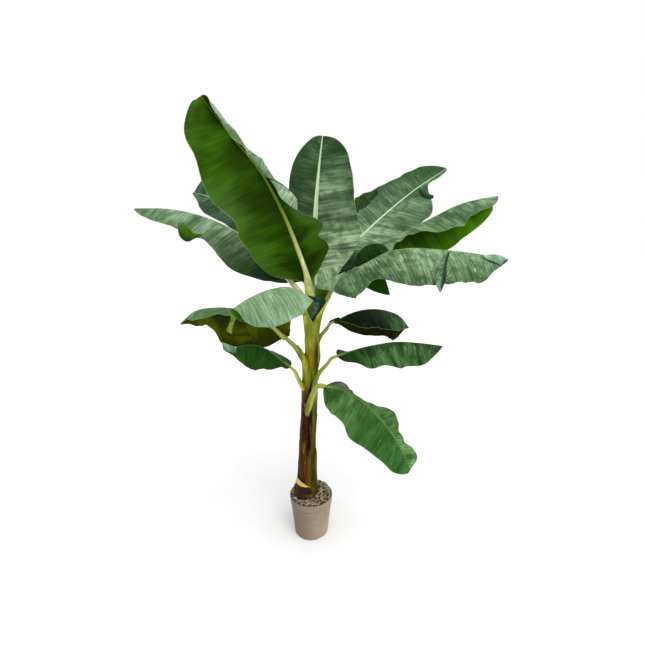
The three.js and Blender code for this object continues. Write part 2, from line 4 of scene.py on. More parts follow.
import bpy
import numpy as np
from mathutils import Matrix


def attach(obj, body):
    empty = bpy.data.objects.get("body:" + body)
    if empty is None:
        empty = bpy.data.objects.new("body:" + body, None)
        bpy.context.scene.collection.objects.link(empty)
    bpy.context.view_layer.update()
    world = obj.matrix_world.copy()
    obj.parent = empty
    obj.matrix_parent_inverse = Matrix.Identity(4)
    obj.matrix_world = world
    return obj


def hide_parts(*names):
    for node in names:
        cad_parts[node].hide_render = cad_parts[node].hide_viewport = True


# A potted banana plant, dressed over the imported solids. Metres, +Z up, the front is -Y.
# Sizes of the plant are named in millimetres, as in the part's source.

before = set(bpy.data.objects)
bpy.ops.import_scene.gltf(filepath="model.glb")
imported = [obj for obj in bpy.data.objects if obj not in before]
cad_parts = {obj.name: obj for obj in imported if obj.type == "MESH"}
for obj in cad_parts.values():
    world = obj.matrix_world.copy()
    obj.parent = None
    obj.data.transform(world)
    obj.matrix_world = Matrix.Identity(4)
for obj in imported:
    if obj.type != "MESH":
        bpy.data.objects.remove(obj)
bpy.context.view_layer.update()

MM = 0.001

# The picture's frame and the camera that saw the plant
PICTURE_SIDE = 645
CAMERA = {
    "place": (0.079, -2.19, 1.92), "down_deg": 12.75, "lens": 19.9, "sensor": 36, "picture_down": 12,
    "sees_to": 500,
}
STUDIO = {"floor_side": 400, "lamp": 2.6, "lamp_spread_deg": 60, "lamp_turn_deg": (26, 24, 0)}

# Seeds of whatever is at random
SEEDS = {"lumps": (31, 32), "strewn": 7, "furrows": 71, "dents": 72, "remains": 50, "stubs": 60}

# Nursery pot
POT = {
    "height": 288, "rim_radius": 148, "lip_height": 11, "collar_radius": 144, "collar_height": 52,
    "body_radius_at_collar": 140.5, "foot_radius": 116, "foot_rounding": 7,
    "inner_rim_radius": 140, "inner_foot_radius": 110, "floor": 12,
}
POT_FACETS = 160
DRAIN_SLOTS = {"count": 4, "first_deg": -55, "wide": 34, "high": 9, "deep": 4}

# Compost heaped over the rim
SOIL = {
    "wall_top": 276, "plateau": 297, "plateau_radius": 96, "shoulder": 66, "shoulder_fall": 0.35,
    "wall_slope_from": 126, "wall_slope": 12, "back_hump": 16, "back_hump_deg": 55,
}
SOIL_GRID = {"rings": 40, "facets": 120, "lumps": 5}
# Bark chips of three tones and grit, which is smaller
CHIPS = {
    "count": 1150, "long": (11, 34), "wide": (6, 15), "thick": (2, 6), "reach": 137,
    "shares": (0.28, 0.2, 0.34, 0.18), "grit_size": 0.45, "corners": 6, "off_stem": 66,
}
SPROUTS = {"count": 9, "from_deg": 20, "to_deg": 62, "radius": (80, 118), "tall": (10, 26), "wide": 5}

# Stem of rolled leaf sheaths
STEM_AXIS = [(-36, 0, 297), (-26, 0, 580), (-15, 0, 840), (-2, 0, 1090), (6, 0, 1330), (15, 2, 1560)]
STEM_TOP = (19, 3, 1640)
STEM_RADII = [
    (297, 78), (330, 73), (390, 66), (470, 60), (620, 57), (840, 54), (1090, 48), (1330, 41), (1560, 31),
    (1640, 16),
]
STEM_GRID = {"rows": 420, "facets": 144}
SHEATH_STEP = 3.5
SHEATH_COUNT = 5
SHEATH_TWIST_PER_METRE = 0.9
SHEATH_SPREAD = 330
# Where the stem stands for its colours, in metres: its middle at a height and its radius
STEM_LEAN = {"slope": 0.0407, "offset": 0.0481, "radius": 0.055}
# Which share of a rolled sheath its slow rise takes, the relief of the sheaths under the stalks, and the
# heights between which the rolls fade out
SOFT_STEP = 0.9
STEM_RELIEF = {"over_root": 60, "edge": 2.6, "edge_soft": 0.06, "opening": 0.8, "furrows": 0.7, "dents": 1.2}
STEM_FADE = (1640, 1500)
# Sheath strap of each stalk on the stem: how far it runs below the stalk, and half its arc in degrees from
# the lower end to the upper one
SHEATHS = {
    "tall_left": (230, [50, 60, 62, 40]), "centre": (200, [50, 60, 62, 40]),
    "back_right": (200, [50, 60, 60, 36]), "rising_right": (230, [50, 60, 60, 36]),
    "arching_right": (250, [50, 62, 60, 36]),
    "arching_left": (220, [50, 60, 60, 36]), "back_left": (200, [50, 60, 60, 36]),
    "front_left": (300, [60, 74, 70, 38]), "hanging_left": (300, [56, 70, 64, 38]),
    "low_left": (170, [8, 26, 32, 30]), "back_low_right": (220, [26, 44, 44, 32]),
    "low_right": (240, [14, 34, 38, 34]), "lowest_right": (20, [1, 4, 8, 12]),
}
SHEATH = {"above": 50, "sunk": 3, "thick": 10, "edge_thick": 3.5, "inside": 8, "rows": 70, "columns": 40}

# Old sheath remains round the foot: arcs in degrees, heights over the soil, and how ragged the top is
SHEATH_REMAINS = {
    "cut_sheath_stub": {"arc": (188, 292), "low": 84, "high": 134, "peak": 0.22, "thick": 12, "ragged": 2},
    "dry_sheath_edge": {"arc": (-62, 24), "low": 60, "high": 350, "peak": 0.45, "thick": 11, "ragged": 10},
}
OLD_STUBS = {
    "old_stub_left": {"arc": (150, 236), "low": 30, "high": 58, "peak": 0.5, "thick": 10, "ragged": 12},
    "old_stub_right": {"arc": (-40, 60), "low": 22, "high": 52, "peak": 0.4, "thick": 10, "ragged": 14},
    "old_stub_back": {"arc": (58, 152), "low": 35, "high": 90, "peak": 0.6, "thick": 9, "ragged": 12},
    "old_stub_front": {"arc": (232, 330), "low": 16, "high": 40, "peak": 0.5, "thick": 11, "ragged": 12},
}
# How far the tops of the remains and of the stubs lean away from the stem
REMAIN_OUTWARD = 4
STUB_OUTWARD = 8
REMAIN_GRID = {"columns": 60, "rows": 26}

# Leaf stalks and blades
STALK = {"flatness": 0.85, "lead": 45, "into_blade": 4}
STALK_GRID = {"rows": 60, "sides": 24}
STALK_CHANNEL = 0.42
STALK_FLARE = 0.3
STALK_TONES = ((112, 124, 3), (158, 168, 44))
# Stalks in paler tones: partly their own whitish colour, partly a painted highlight
PALE_STALKS = ("tall_left", "arching_left", "centre")
# Each stalk's lower end: how far below its root it sinks into the stem, its share of the radius there, how
# much thicker it is at the root, how much wider on each side, how late it thins, and how much thicker it
# stays at the blade
STALK_SHAPE = {"sunk": 170, "sunk_share": 0.5, "extra": 5, "spread": 3, "taper": 0.8, "late": 0}
STALK_SHAPES = {
    "tall_left": {"spread": 15}, "arching_left": {"spread": 16, "late": 7},
    "front_left": {"spread": 7, "sunk": 190}, "hanging_left": {"spread": 6, "sunk": 190},
    "lowest_right": {"taper": 1.5, "extra": -12, "sunk": 70, "sunk_share": 0.15, "late": 5},
    "low_right": {"taper": 1.5, "sunk": 150}, "low_left": {"taper": 1.2, "sunk": 130},
}
BLADE = {
    "sweep": 0.12, "lobe_reach": 0.3, "base_cap": 0.07, "tip_cap": 0.16, "start_share": 0.9,
    "tip_half_width": 5, "flat_below_width": 75,
}
BLADE_GRID = {"row_every": 8.5, "columns": 24, "rib_columns": 4, "closest_rows": 0.0012}
BLADE_THICKNESS = 1.3
MARGIN_BAND = 2.5
RIB_TIP_RADIUS = 1.6
RIB_TAPER = 1.1
RIB_GROOVE = 0.35
PLEAT = {"length": 23, "height": 0.9}

# Each leaf: places along its stalk and its midrib, the stalk's radius at the root and at the blade, and the
# way its upper side faces. Then for each half the widths and the droop in degrees from base to tip, the curl
# in degrees across the half, how far its base reaches back, and tears as (share of the length, half width,
# depth).
LEAVES = {
    "tall_left": {
        "stalk": [(0, -20, 1490), (22, -25, 1615)],
        "thick": (26, 17),
        "rib": [(10, -20, 1720), (-60, -100, 1940), (-140, -200, 2150), (-230, -290, 2320),
                (-350, -360, 2460), (-460, -420, 2600)],
        "faces": (-0.35, 1, 0.35),
        "right": {
            "width": [130, 185, 230, 260, 285, 295, 280, 290, 315, 290, 260, 265, 220],
            "drop": [0, 25, 30, 60], "curl": 20, "lobe": -0.35,
        },
        "left": {
            "width": [60, 80, 100, 140, 180, 178, 140, 192, 165, 115, 90, 92, 95,
                      90, 80, 92, 95, 70, 45, 60, 74, 56, 62, 68, 60],
            "drop": [5, 20, 20, 10], "curl": 60,
        },
    },
    "centre": {
        "stalk": [(15, 12, 1515), (22, 20, 1630)],
        "thick": (21, 14),
        "rib": [(20, 22, 1740), (30, 40, 1940), (40, 60, 2200), (60, 80, 2430), (80, 90, 2590)],
        "faces": (0, -1, 0.15),
        "right": {
            "width": [140, 165, 220, 260, 275, 260, 240, 225, 215, 200, 175, 160, 150],
            "drop": [5, 0, 0, -10], "curl": 10,
        },
        "left": {
            "width": [160, 165, 175, 180, 180, 180, 175, 175, 175, 170, 150, 125, 110],
            "drop": [10, 10, 10, 15], "curl": 10,
        },
    },
    "back_right": {
        "stalk": [(25, 28, 1545), (55, 55, 1685)],
        "thick": (21, 13),
        "rib": [(110, 80, 1810), (220, 170, 1940), (330, 250, 2030), (490, 360, 2170),
                (730, 470, 2360), (960, 540, 2510)],
        "faces": (-0.25, -0.75, 0.8),
        "right": {
            "width": [90, 125, 160, 190, 215, 240, 250, 255, 235, 150, 35, 35, 40],
            "drop": [0, 0, 5, 15], "curl": 15,
        },
        "left": {
            "width": [150, 175, 205, 230, 240, 245, 265, 240, 215, 185, 165, 140, 100],
            "drop": [0, -10, -5, -10], "curl": 20,
        },
    },
    "rising_right": {
        "stalk": [(30, 5, 1505), (95, -5, 1675), (180, 0, 1775)],
        "thick": (21, 13),
        "rib": [(260, 0, 1840), (350, 15, 1920), (470, 30, 2000), (730, 60, 2130),
                (900, 80, 2210), (1130, 100, 2260)],
        "faces": (0, 0, 1),
        "right": {
            "width": [60, 130, 190, 135, 100, 85, 145, 145, 160, 125, 110, 115, 100],
            "drop": [10, 15, 45, 30], "curl": 20,
        },
        "left": {
            "width": [150, 170, 190, 205, 215, 225, 230, 225, 215, 195, 175, 150, 140],
            "drop": [80, 85, 85, 80], "curl": 10, "lobe": 0.7,
        },
    },
    "arching_right": {
        "stalk": [(16, -14, 1445), (80, -58, 1600)],
        "thick": (22, 14),
        "rib": [(140, -75, 1720), (190, -95, 1800), (300, -130, 1860), (450, -165, 1935),
                (760, -210, 1940), (1070, -240, 1890)],
        "faces": (0, 0, 1),
        "right": {
            "width": [305, 310, 240, 175, 260, 300, 310, 305, 280, 245, 210, 115, 75],
            "drop": [35, 40, 35, 50], "curl": 20,
        },
        "left": {
            "width": [60, 80, 115, 230, 190, 165, 165, 170, 165, 150, 135, 120, 110],
            "drop": [75, 80, 60, 50], "curl": 15,
            "tears": [(0.3, 0.045, 0.6)],
        },
    },
    "arching_left": {
        "stalk": [(-10, -10, 1530), (-45, -20, 1675)],
        "thick": (22, 14),
        "rib": [(-130, -20, 1780), (-320, -30, 1980), (-520, -30, 2100), (-770, -10, 2170),
                (-1020, 20, 2180)],
        "faces": (0, 0, 1),
        "right": {
            "width": [110, 170, 180, 150, 90],
            "drop": [40, 55, 50, 40], "curl": 20,
        },
        "left": {
            "width": [110, 170, 230, 250, 230, 195, 165, 190, 140, 130, 115, 90, 80],
            "drop": [50, 45, 45, 40], "curl": 20,
        },
    },
    "back_left": {
        "stalk": [(-5, 28, 1530), (-15, 58, 1640)],
        "thick": (19, 12),
        "rib": [(-40, 90, 1750), (-150, 200, 1870), (-330, 320, 2040), (-550, 430, 2230),
                (-740, 500, 2320), (-850, 540, 2350)],
        "faces": (0.1, -0.3, 1),
        "right": {
            "width": [130, 190, 200, 205, 270],
            "drop": [0, 0, -30, -40], "curl": 20,
        },
        "left": {
            "width": [185, 200, 245, 240, 210, 170, 130, 145, 165, 170, 140, 85, 60],
            "drop": [10, 20, 20, 30], "curl": 20,
        },
    },
    "front_left": {
        "stalk": [(30, -30, 1300), (30, -58, 1390), (8, -74, 1490), (-30, -82, 1595)],
        "thick": (28, 14),
        "rib": [(-40, -90, 1670), (-100, -200, 1740), (-200, -340, 1740), (-280, -450, 1710),
                (-340, -540, 1670)],
        "faces": (0, 0, 1),
        "right": {
            "width": [100, 150, 180, 190, 185, 170, 150, 120, 90],
            "drop": [100, 90, 85, 75, 70], "curl": 20, "lobe": 0.5,
        },
        "left": {
            "width": [140, 130, 165, 190, 205, 215, 210, 210, 200, 185, 155, 130, 110],
            "drop": [20, 35, 50, 70], "curl": 30,
        },
    },
    "hanging_left": {
        "stalk": [(-18, -26, 1225), (-52, -58, 1300), (-85, -72, 1360)],
        "thick": (28, 14),
        "rib": [(-160, -90, 1440), (-290, -70, 1540), (-420, -50, 1590), (-580, -20, 1600),
                (-720, 10, 1570), (-820, 40, 1480)],
        "faces": (0, 0, 1),
        "right": {
            "width": [60, 125, 170, 205, 235, 245, 250, 225, 155, 110, 105, 90, 60],
            "drop": [-60, 15, 85, 85, 85, 85, 84, 83, 80, 76, 72, 66, 60], "curl": 10, "lobe": 0.85,
        },
        "left": {
            "width": [30, 40, 80, 140, 150, 140, 115, 145, 150, 125, 85, 60, 40],
            "drop": [15, 5, 20, 25], "curl": 20,
        },
    },
    "low_left": {
        "stalk": [(-26, -28, 1050), (-52, -60, 1110), (-77, -82, 1170)],
        "thick": (20, 11),
        "rib": [(-120, -120, 1250), (-170, -160, 1310), (-240, -220, 1390), (-310, -280, 1430),
                (-430, -380, 1420)],
        "faces": (0, 0, 1),
        "right": {
            "width": [70, 90, 90, 95, 90, 85, 80, 70, 60],
            "drop": [-40, 0, 30, 40], "curl": 30, "lobe": 1.2,
        },
        "left": {
            "width": [30, 50, 60, 100, 125, 130, 140, 150, 145, 140, 125, 85, 60],
            "drop": [60, 60, 60, 40], "curl": 30,
        },
    },
    "back_low_right": {
        "stalk": [(34, 8, 1290), (62, 8, 1405), (112, 12, 1470)],
        "thick": (20, 11),
        "rib": [(160, 20, 1510), (250, 60, 1550), (390, 120, 1570), (510, 170, 1550),
                (600, 200, 1510), (670, 220, 1430)],
        "faces": (0, 0, 1),
        "right": {
            "width": [40, 65, 120, 145, 145, 155, 165, 160, 155, 145, 125, 90, 80],
            "drop": [45, 45, 45, 45], "curl": 20,
        },
        "left": {
            "width": [60, 80, 140, 170, 185, 185, 185, 180, 170, 170, 170, 180, 270],
            "drop": [20, 75, 85, 90, 95, 100], "curl": 15, "lobe": 0.8,
        },
    },
    "low_right": {
        "stalk": [(18, -24, 1060), (55, -50, 1185), (112, -75, 1262)],
        "thick": (22, 12),
        "rib": [(170, -90, 1310), (300, -120, 1370), (400, -150, 1400), (500, -170, 1420),
                (640, -200, 1420), (760, -230, 1410)],
        "faces": (0, 0, 1),
        "right": {
            "width": [55, 70, 95, 135, 145, 135, 150, 165, 150, 145, 130, 90, 65],
            "drop": [55, 60, 55, 50], "curl": 25,
        },
        "left": {
            "width": [95, 105, 130, 150, 150, 150, 150, 150, 145, 140, 130, 110, 90],
            "drop": [-25, 40, 40, 40, 40, 40, 40], "curl": 25, "lobe": 0.5,
        },
    },
    "lowest_right": {
        "stalk": [(-22, -36, 880), (-8, -68, 970), (18, -86, 1060)],
        "thick": (24, 14),
        "rib": [(90, -110, 1120), (200, -160, 1120), (290, -220, 1090), (380, -270, 1020),
                (470, -320, 920), (580, -370, 710)],
        "faces": (0.2, -0.1, 1),
        "right": {
            "width": [110, 180, 200, 195, 200, 235, 230, 210, 195, 175, 160, 130, 95],
            "drop": [15, 25, 20, 10], "curl": 20,
        },
        "left": {
            "width": [120, 130, 90, 25, 25, 110, 155, 140, 80, 60, 70, 110, 120],
            "drop": [0, 20, -20, -30], "curl": 20,
        },
    },
}

for leaf_name, leaf in LEAVES.items():
    leaf["name"] = leaf_name

# Share of the midrib that stays bare before the blade begins
BLADE_BEGINS = {"tall_left": 0.04}
# How much broader the midrib shows on the upper side
RIB_BROADER = {"centre": 1.8}

# What the finer blades add to the source's: waves of the edge as (height, length) in mm, and turns of the
# edge as (half, from and to which share of the length, from and to which share of the half, degrees towards
# the under side)
WAVES = {
    "tall_left": (10, 190), "centre": (6, 120), "back_right": (8, 130), "rising_right": (11, 150),
    "arching_right": (9, 130), "arching_left": (4, 170), "back_left": (8, 150), "front_left": (7, 110),
    "hanging_left": (9, 120), "low_left": (8, 100), "back_low_right": (7, 90), "low_right": (11, 95),
    "lowest_right": (9, 105),
}
TURN_EASE = 0.3
TURNS = {"tall_left": [("left", 0.5, 1.1, 0.3, 0.62, 168)]}

# Colours of each blade as red, green and blue of 255: the upper side where it is deep and where it has
# bloom, and the under side. Then how much bloom each half has from base to tip, and how much stays at
# the edge. The bloom stands both for the blade's waxy bloom and for painted sheen of reflected light,
# and its amounts along each half partly paint light and shade. The under side's yellow-green is partly
# painted light shining through the blade.
BLADE_LOOKS = {
    "tall_left": {"deep": (52, 96, 20), "bloom": (130, 146, 123), "under": (48, 89, 0),
                  "right": [0.6, 0.5, 0.6, 0.8, 0.9], "left": [0.1, 0.2, 0.6, 0.9, 1.0], "edge": 1.0},
    "centre": {"deep": (26, 62, 22), "bloom": (146, 174, 134), "under": (62, 106, 10),
               "right": [1.2, 1.2, 0.6, 0.35, 0.1], "left": [0.9, 0.8, 0.35, 0.15, 0.25], "edge": 0.65},
    "back_right": {"deep": (30, 64, 32), "bloom": (132, 160, 123), "under": (56, 98, 8),
                   "right": [0.6, 1.0, 0.7, 0.6, 0.4], "left": [0.8, 0.8, 0.45, 0.3, 0.05], "edge": 0.6},
    "rising_right": {"deep": (34, 72, 26), "bloom": (134, 160, 126), "under": (62, 112, 0),
                     "right": [0.4, 0.9, 0.75, 0.5, 0.55], "left": [0.5, 0.6, 0.7, 0.5, 0.5], "edge": 0.7},
    "arching_right": {"deep": (36, 70, 32), "bloom": (127, 155, 116), "under": (26, 66, 8),
                      "right": [0.6, 0.7, 0.95, 0.8, 0.9], "left": [0.6, 0.6, 0.7, 0.7, 0.7], "edge": 0.4},
    "arching_left": {"deep": (44, 80, 34), "bloom": (125, 150, 119), "under": (62, 106, 6),
                     "right": [0.2, 0.3, 0.8, 0.9, 0.4], "left": [0.2, 0.3, 0.9, 0.9, 0.4], "edge": 0.65},
    "back_left": {"deep": (22, 50, 28), "bloom": (74, 104, 76), "under": (50, 92, 4),
                  "right": [0.2, 0.3, 0.4, 0.5, 0.5], "left": [0.2, 0.4, 0.5, 0.3, 0.6], "edge": 1.0},
    "front_left": {"deep": (90, 120, 84), "bloom": (124, 151, 118), "under": (56, 96, 10),
                   "right": [0.9, 0.8, 0.6, 0.8, 0.2], "left": [0.6, 1.0, 0.85, 0.7, 0.2], "edge": 1.1},
    "hanging_left": {"deep": (56, 98, 34), "bloom": (111, 143, 102), "under": (70, 84, 0),
                     "right": [0.5, 0.6, 0.6, 0.6, 0.5], "left": [0.5, 0.6, 0.5, 0.6, 0.4], "edge": 0.8},
    "low_left": {"deep": (20, 58, 4), "bloom": (60, 98, 40), "under": (44, 84, 8),
                 "right": [0.1, 0.3, 0.1, 0.2, 0.2], "left": [0.1, 0.1, 0.15, 0.1, 0.4], "edge": 1.0},
    "back_low_right": {"deep": (2, 24, 0), "bloom": (73, 111, 55), "under": (34, 38, 4),
                       "right": [0.1, 0.0, 0.1, 0.6, 0.5], "left": [0.1, 0.05, 0.1, 0.4, 0.4], "edge": 0.7},
    "low_right": {"deep": (14, 46, 4), "bloom": (74, 112, 64), "under": (46, 84, 8),
                  "right": [0.05, 0.45, 0.75, 0.7, 0.85], "left": [0.1, 0.4, 0.6, 0.6, 0.6], "edge": 1.1},
    "lowest_right": {"deep": (24, 70, 2), "bloom": (88, 126, 72), "under": (56, 98, 8),
                     "right": [0.3, 0.7, 0.15, 0.2, 0.3], "left": [0.4, 0.8, 0.5, 0.9, 0.9], "edge": 0.9},
}
# Parts of the upper side in deep shade, from base to tip, on the left and the right half, and their tone
SHADED = {
    "arching_left": ([1, 0.25, 0, 0, 0, 0], [1, 0.25, 0, 0, 0, 0]),
    "hanging_left": ([0.3, 0, 0, 0, 0, 0], [1, 0.3, 0, 0, 0, 0]),
    "arching_right": ([0, 0, 0], [0, 0, 0, 0, 0, 0, 0, 0, 0, 0, 0, 0.6, 0.2]),
    "back_left": ([0.85, 0.8, 0.5, 0.15, 0, 0], [0.85, 0.8, 0.5, 0.15, 0, 0]),
    "centre": ([0, 0, 0, 0, 0, 0, 0, 0.2, 0.7, 0.6, 0.5, 0.4, 0.4, 0.3, 0.3, 0.3, 0.3],
               [0, 0, 0, 0, 0, 0, 0, 0.7, 0.05, 0.3, 0.1, 0.1, 0.1, 0.2, 0.3, 0.5, 0.6]),
    "rising_right": ([0, 0, 0], [1, 0.9, 0, 0, 0, 0, 0, 0, 0, 0]),
    "back_right": ([1, 0.9, 0.4, 0, 0, 0, 0.2, 0.3, 0.3], [0, 0, 0, 0, 0.15, 0.25, 0.2, 0.1, 0.1]),
}
SHADE_TONE = {
    "arching_right": (34, 70, 36), "hanging_left": (50, 62, 4), "back_left": (8, 30, 14),
    "centre": (16, 44, 16), "rising_right": (14, 44, 8), "back_right": (30, 66, 10),
}
DEEPEST_SHADE = (6, 20, 6)
# Pale bloom near the edge of the under side, from base to tip, on the left and the right half
HAZE = {"tall_left": ([0, 0.1, 0.5, 0.6, 0.3], [0.18, 0.15, 0.06, 0.22, 0, 0.08])}
GREEN_RIBS = ("low_left", "low_right", "lowest_right", "back_low_right", "front_left")

# Scraps and folds of the blades near the throat and at torn edges: two edges in mm, how far they bulge
# between them, and colours as above
FOLD_GRID = {"rows": 30, "columns": 14}
FOLDS = {
    "throat_fold": {
        "from": [(0, -60, 1535), (15, -60, 1595), (25, -105, 1675)],
        "to": [(20, -60, 1525), (90, -95, 1605), (95, -95, 1670)],
        "bulge": 6, "deep": (16, 48, 18), "bloom": (112, 136, 122), "under": (40, 80, 6),
        "amounts": [0.9, 1.0], "edge": -0.7,
    },
    "throat_scrap": {
        "from": [(-5, -65, 1540), (-30, -70, 1580), (15, -100, 1645)],
        "to": [(0, -65, 1535), (15, -65, 1595), (25, -100, 1660)],
        "bulge": 2, "deep": (62, 84, 0), "bloom": (84, 104, 10), "under": (62, 84, 0),
        "amounts": [0.4, 0.4], "edge": 1,
    },
    "throat_band": {
        "from": [(-35, -75, 1690), (0, -90, 1680), (40, -105, 1675)],
        "to": [(-25, -85, 1660), (5, -100, 1650), (40, -105, 1640)],
        "bulge": 2, "deep": (10, 34, 12), "bloom": (50, 84, 50), "under": (20, 50, 6),
        "amounts": [0.3, 0.6], "edge": 0.5,
    },
    "throat_leaf": {
        "from": [(35, -60, 1650), (35, -40, 1730)],
        "to": [(90, -60, 1650), (120, -40, 1715)],
        "bulge": -5, "deep": (46, 84, 0), "bloom": (96, 140, 16), "under": (60, 104, 0),
        "amounts": [0.4, 0.9], "edge": -0.4,
    },
    "arching_right_lobe": {
        "from": [(25, -60, 1735), (100, -90, 1770), (165, -100, 1800), (210, -100, 1820)],
        "to": [(30, -60, 1720), (90, -100, 1715), (140, -120, 1705), (185, -125, 1685)],
        "bulge": 5, "deep": (92, 124, 84), "bloom": (132, 160, 124), "under": (50, 90, 10),
        "amounts": [0.7, 0.9], "edge": 0.8,
    },
    # A dark scrap hanging between two leaves: its dark colours are painted shade of the hollow there.
    "throat_hollow": {
        "from": [(160, -50, 1790), (210, -55, 1855), (250, -60, 1910)],
        "to": [(170, -55, 1785), (235, -70, 1820), (310, -60, 1875)],
        "bulge": -3, "deep": (10, 36, 12), "bloom": (40, 70, 34), "under": (14, 40, 6),
        "amounts": [0.2, 0.5], "edge": 0.5,
    },
    "rising_right_lobe": {
        "from": [(275, -65, 1905), (315, -85, 1955), (375, -120, 1975),
                 (420, -130, 1970), (450, -145, 1940)],
        "to": [(280, -70, 1845), (330, -100, 1870), (385, -125, 1900),
               (425, -135, 1920), (455, -145, 1930)],
        "bulge": 3, "deep": (12, 44, 6), "bloom": (44, 86, 24), "under": (20, 50, 4),
        "amounts": [0.2, 0.6], "edge": 0.3,
    },
    "back_right_shade": {
        "from": [(305, 465, 2300), (385, 480, 2335), (465, 490, 2365)],
        "to": [(300, 360, 2150), (380, 420, 2240), (470, 490, 2335)],
        "bulge": 2, "deep": (8, 42, 4), "bloom": (54, 88, 8), "under": (40, 84, 8),
        "amounts": [0.7, 0.2], "edge": 0.1,
    },
    "back_right_curl": {
        "from": [(745, 440, 2365), (780, 420, 2340), (810, 405, 2320), (840, 400, 2310)],
        "to": [(745, 435, 2350), (770, 395, 2300), (800, 380, 2280), (835, 390, 2290)],
        "bulge": 4, "deep": (14, 42, 22), "bloom": (50, 84, 58), "under": (20, 50, 20),
        "amounts": [0.4, 0.3], "edge": 0.2,
    },
    "arching_right_tuck": {
        "from": [(640, -480, 1740), (625, -460, 1780), (660, -380, 1850), (720, -270, 1920)],
        "to": [(645, -480, 1740), (680, -435, 1795), (705, -360, 1860), (755, -250, 1930)],
        "bulge": 3, "deep": (12, 42, 18), "bloom": (104, 134, 96), "under": (14, 46, 10),
        "amounts": [1.0, 1.0], "edge": -0.6,
    },
    "arching_right_scrap": {
        "from": [(930, -260, 1910), (1005, -255, 1915), (1065, -260, 1890)],
        "to": [(940, -270, 1895), (990, -280, 1875), (1020, -280, 1865),
               (1030, -280, 1880), (1060, -265, 1890)],
        "bulge": 3, "deep": (76, 110, 80), "bloom": (128, 156, 128), "under": (60, 100, 60),
        "amounts": [0.8, 0.9], "edge": 0.8,
    },
    "arching_left_flap": {
        "from": [(-715, -155, 2060), (-700, -160, 2005), (-670, -160, 1985),
                 (-625, -165, 2000), (-580, -170, 2020)],
        "to": [(-710, -150, 2070), (-685, -150, 2075), (-655, -160, 2055),
               (-625, -165, 2030), (-580, -170, 2025)],
        "bulge": 2, "deep": (52, 90, 16), "bloom": (100, 130, 80), "under": (58, 98, 12),
        "amounts": [0.6, 0.6], "edge": 1,
    },
    "hanging_left_lobe": {
        "from": [(-340, -70, 1360), (-275, -70, 1360), (-175, -80, 1410), (-120, -85, 1435)],
        "to": [(-380, -90, 1510), (-285, -90, 1495), (-200, -90, 1500), (-110, -95, 1540)],
        "bulge": 5, "deep": (60, 90, 20), "bloom": (90, 120, 60), "under": (74, 88, 0),
        "amounts": [0.6, 0.6], "edge": 1,
    },
    "hanging_left_strip": {
        "from": [(-495, -110, 1475), (-470, -110, 1525), (-460, -120, 1600)],
        "to": [(-465, -110, 1450), (-445, -110, 1525), (-410, -120, 1575)],
        "bulge": 3, "deep": (100, 126, 36), "bloom": (140, 164, 92), "under": (104, 134, 32),
        "amounts": [0.5, 0.9], "edge": 0.9,
    },
    "low_left_flap": {
        "from": [(-445, -385, 1470), (-415, -385, 1460), (-375, -380, 1440)],
        "to": [(-440, -390, 1430), (-410, -390, 1420), (-375, -380, 1410)],
        "bulge": 4, "deep": (66, 100, 76), "bloom": (124, 150, 126), "under": (44, 84, 8),
        "amounts": [0.8, 0.7], "edge": 0.7,
    },
    "centre_lobe": {
        "from": [(10, 15, 1810), (95, 10, 1825), (180, 15, 1850)],
        "to": [(25, 0, 1710), (100, 0, 1730), (175, 5, 1775)],
        "bulge": 3, "deep": (70, 100, 62), "bloom": (150, 178, 138), "under": (60, 100, 20),
        "amounts": [0.9, 0.9], "edge": 0.9,
    },
    "hanging_left_hem": {
        "from": [(-545, -35, 1395), (-505, -40, 1360), (-445, -45, 1355),
                 (-370, -60, 1365), (-295, -60, 1360)],
        "to": [(-545, -35, 1435), (-500, -40, 1425), (-445, -45, 1425),
               (-365, -60, 1430), (-290, -60, 1415)],
        "bulge": 2, "deep": (60, 90, 20), "bloom": (90, 120, 60), "under": (66, 76, 0),
        "amounts": [0.6, 0.6], "edge": 1,
    },
    "tall_left_lobe": {
        "from": [(-275, -330, 2390), (-245, -325, 2380), (-215, -325, 2370),
                 (-195, -320, 2335), (-175, -310, 2285)],
        "to": [(-275, -330, 2385), (-255, -320, 2355), (-230, -315, 2330),
               (-205, -315, 2300), (-180, -310, 2280)],
        "bulge": 3, "deep": (84, 120, 76), "bloom": (134, 160, 128), "under": (54, 96, 0),
        "amounts": [0.6, 0.6], "edge": 0.9,
    },
    "tall_left_hem": {
        "from": [(-180, -300, 2280), (-125, -305, 2255), (-85, -270, 2230),
                 (-55, -240, 2195), (-55, -215, 2145)],
        "to": [(-180, -300, 2275), (-155, -290, 2240), (-135, -275, 2200),
               (-100, -255, 2170), (-60, -215, 2145)],
        "bulge": 3, "deep": (100, 130, 84), "bloom": (156, 178, 146), "under": (54, 96, 0),
        "amounts": [0.7, 0.8], "edge": 0.9,
    },
    "back_low_right_tip": {
        "from": [(120, 0, 1510), (150, 5, 1525), (185, 10, 1535)],
        "to": [(120, 0, 1505), (155, 5, 1495), (190, 10, 1505)],
        "bulge": 2, "deep": (2, 24, 0), "bloom": (60, 90, 40), "under": (34, 38, 4),
        "amounts": [0.1, 0.2], "edge": 0.7,
    },
}

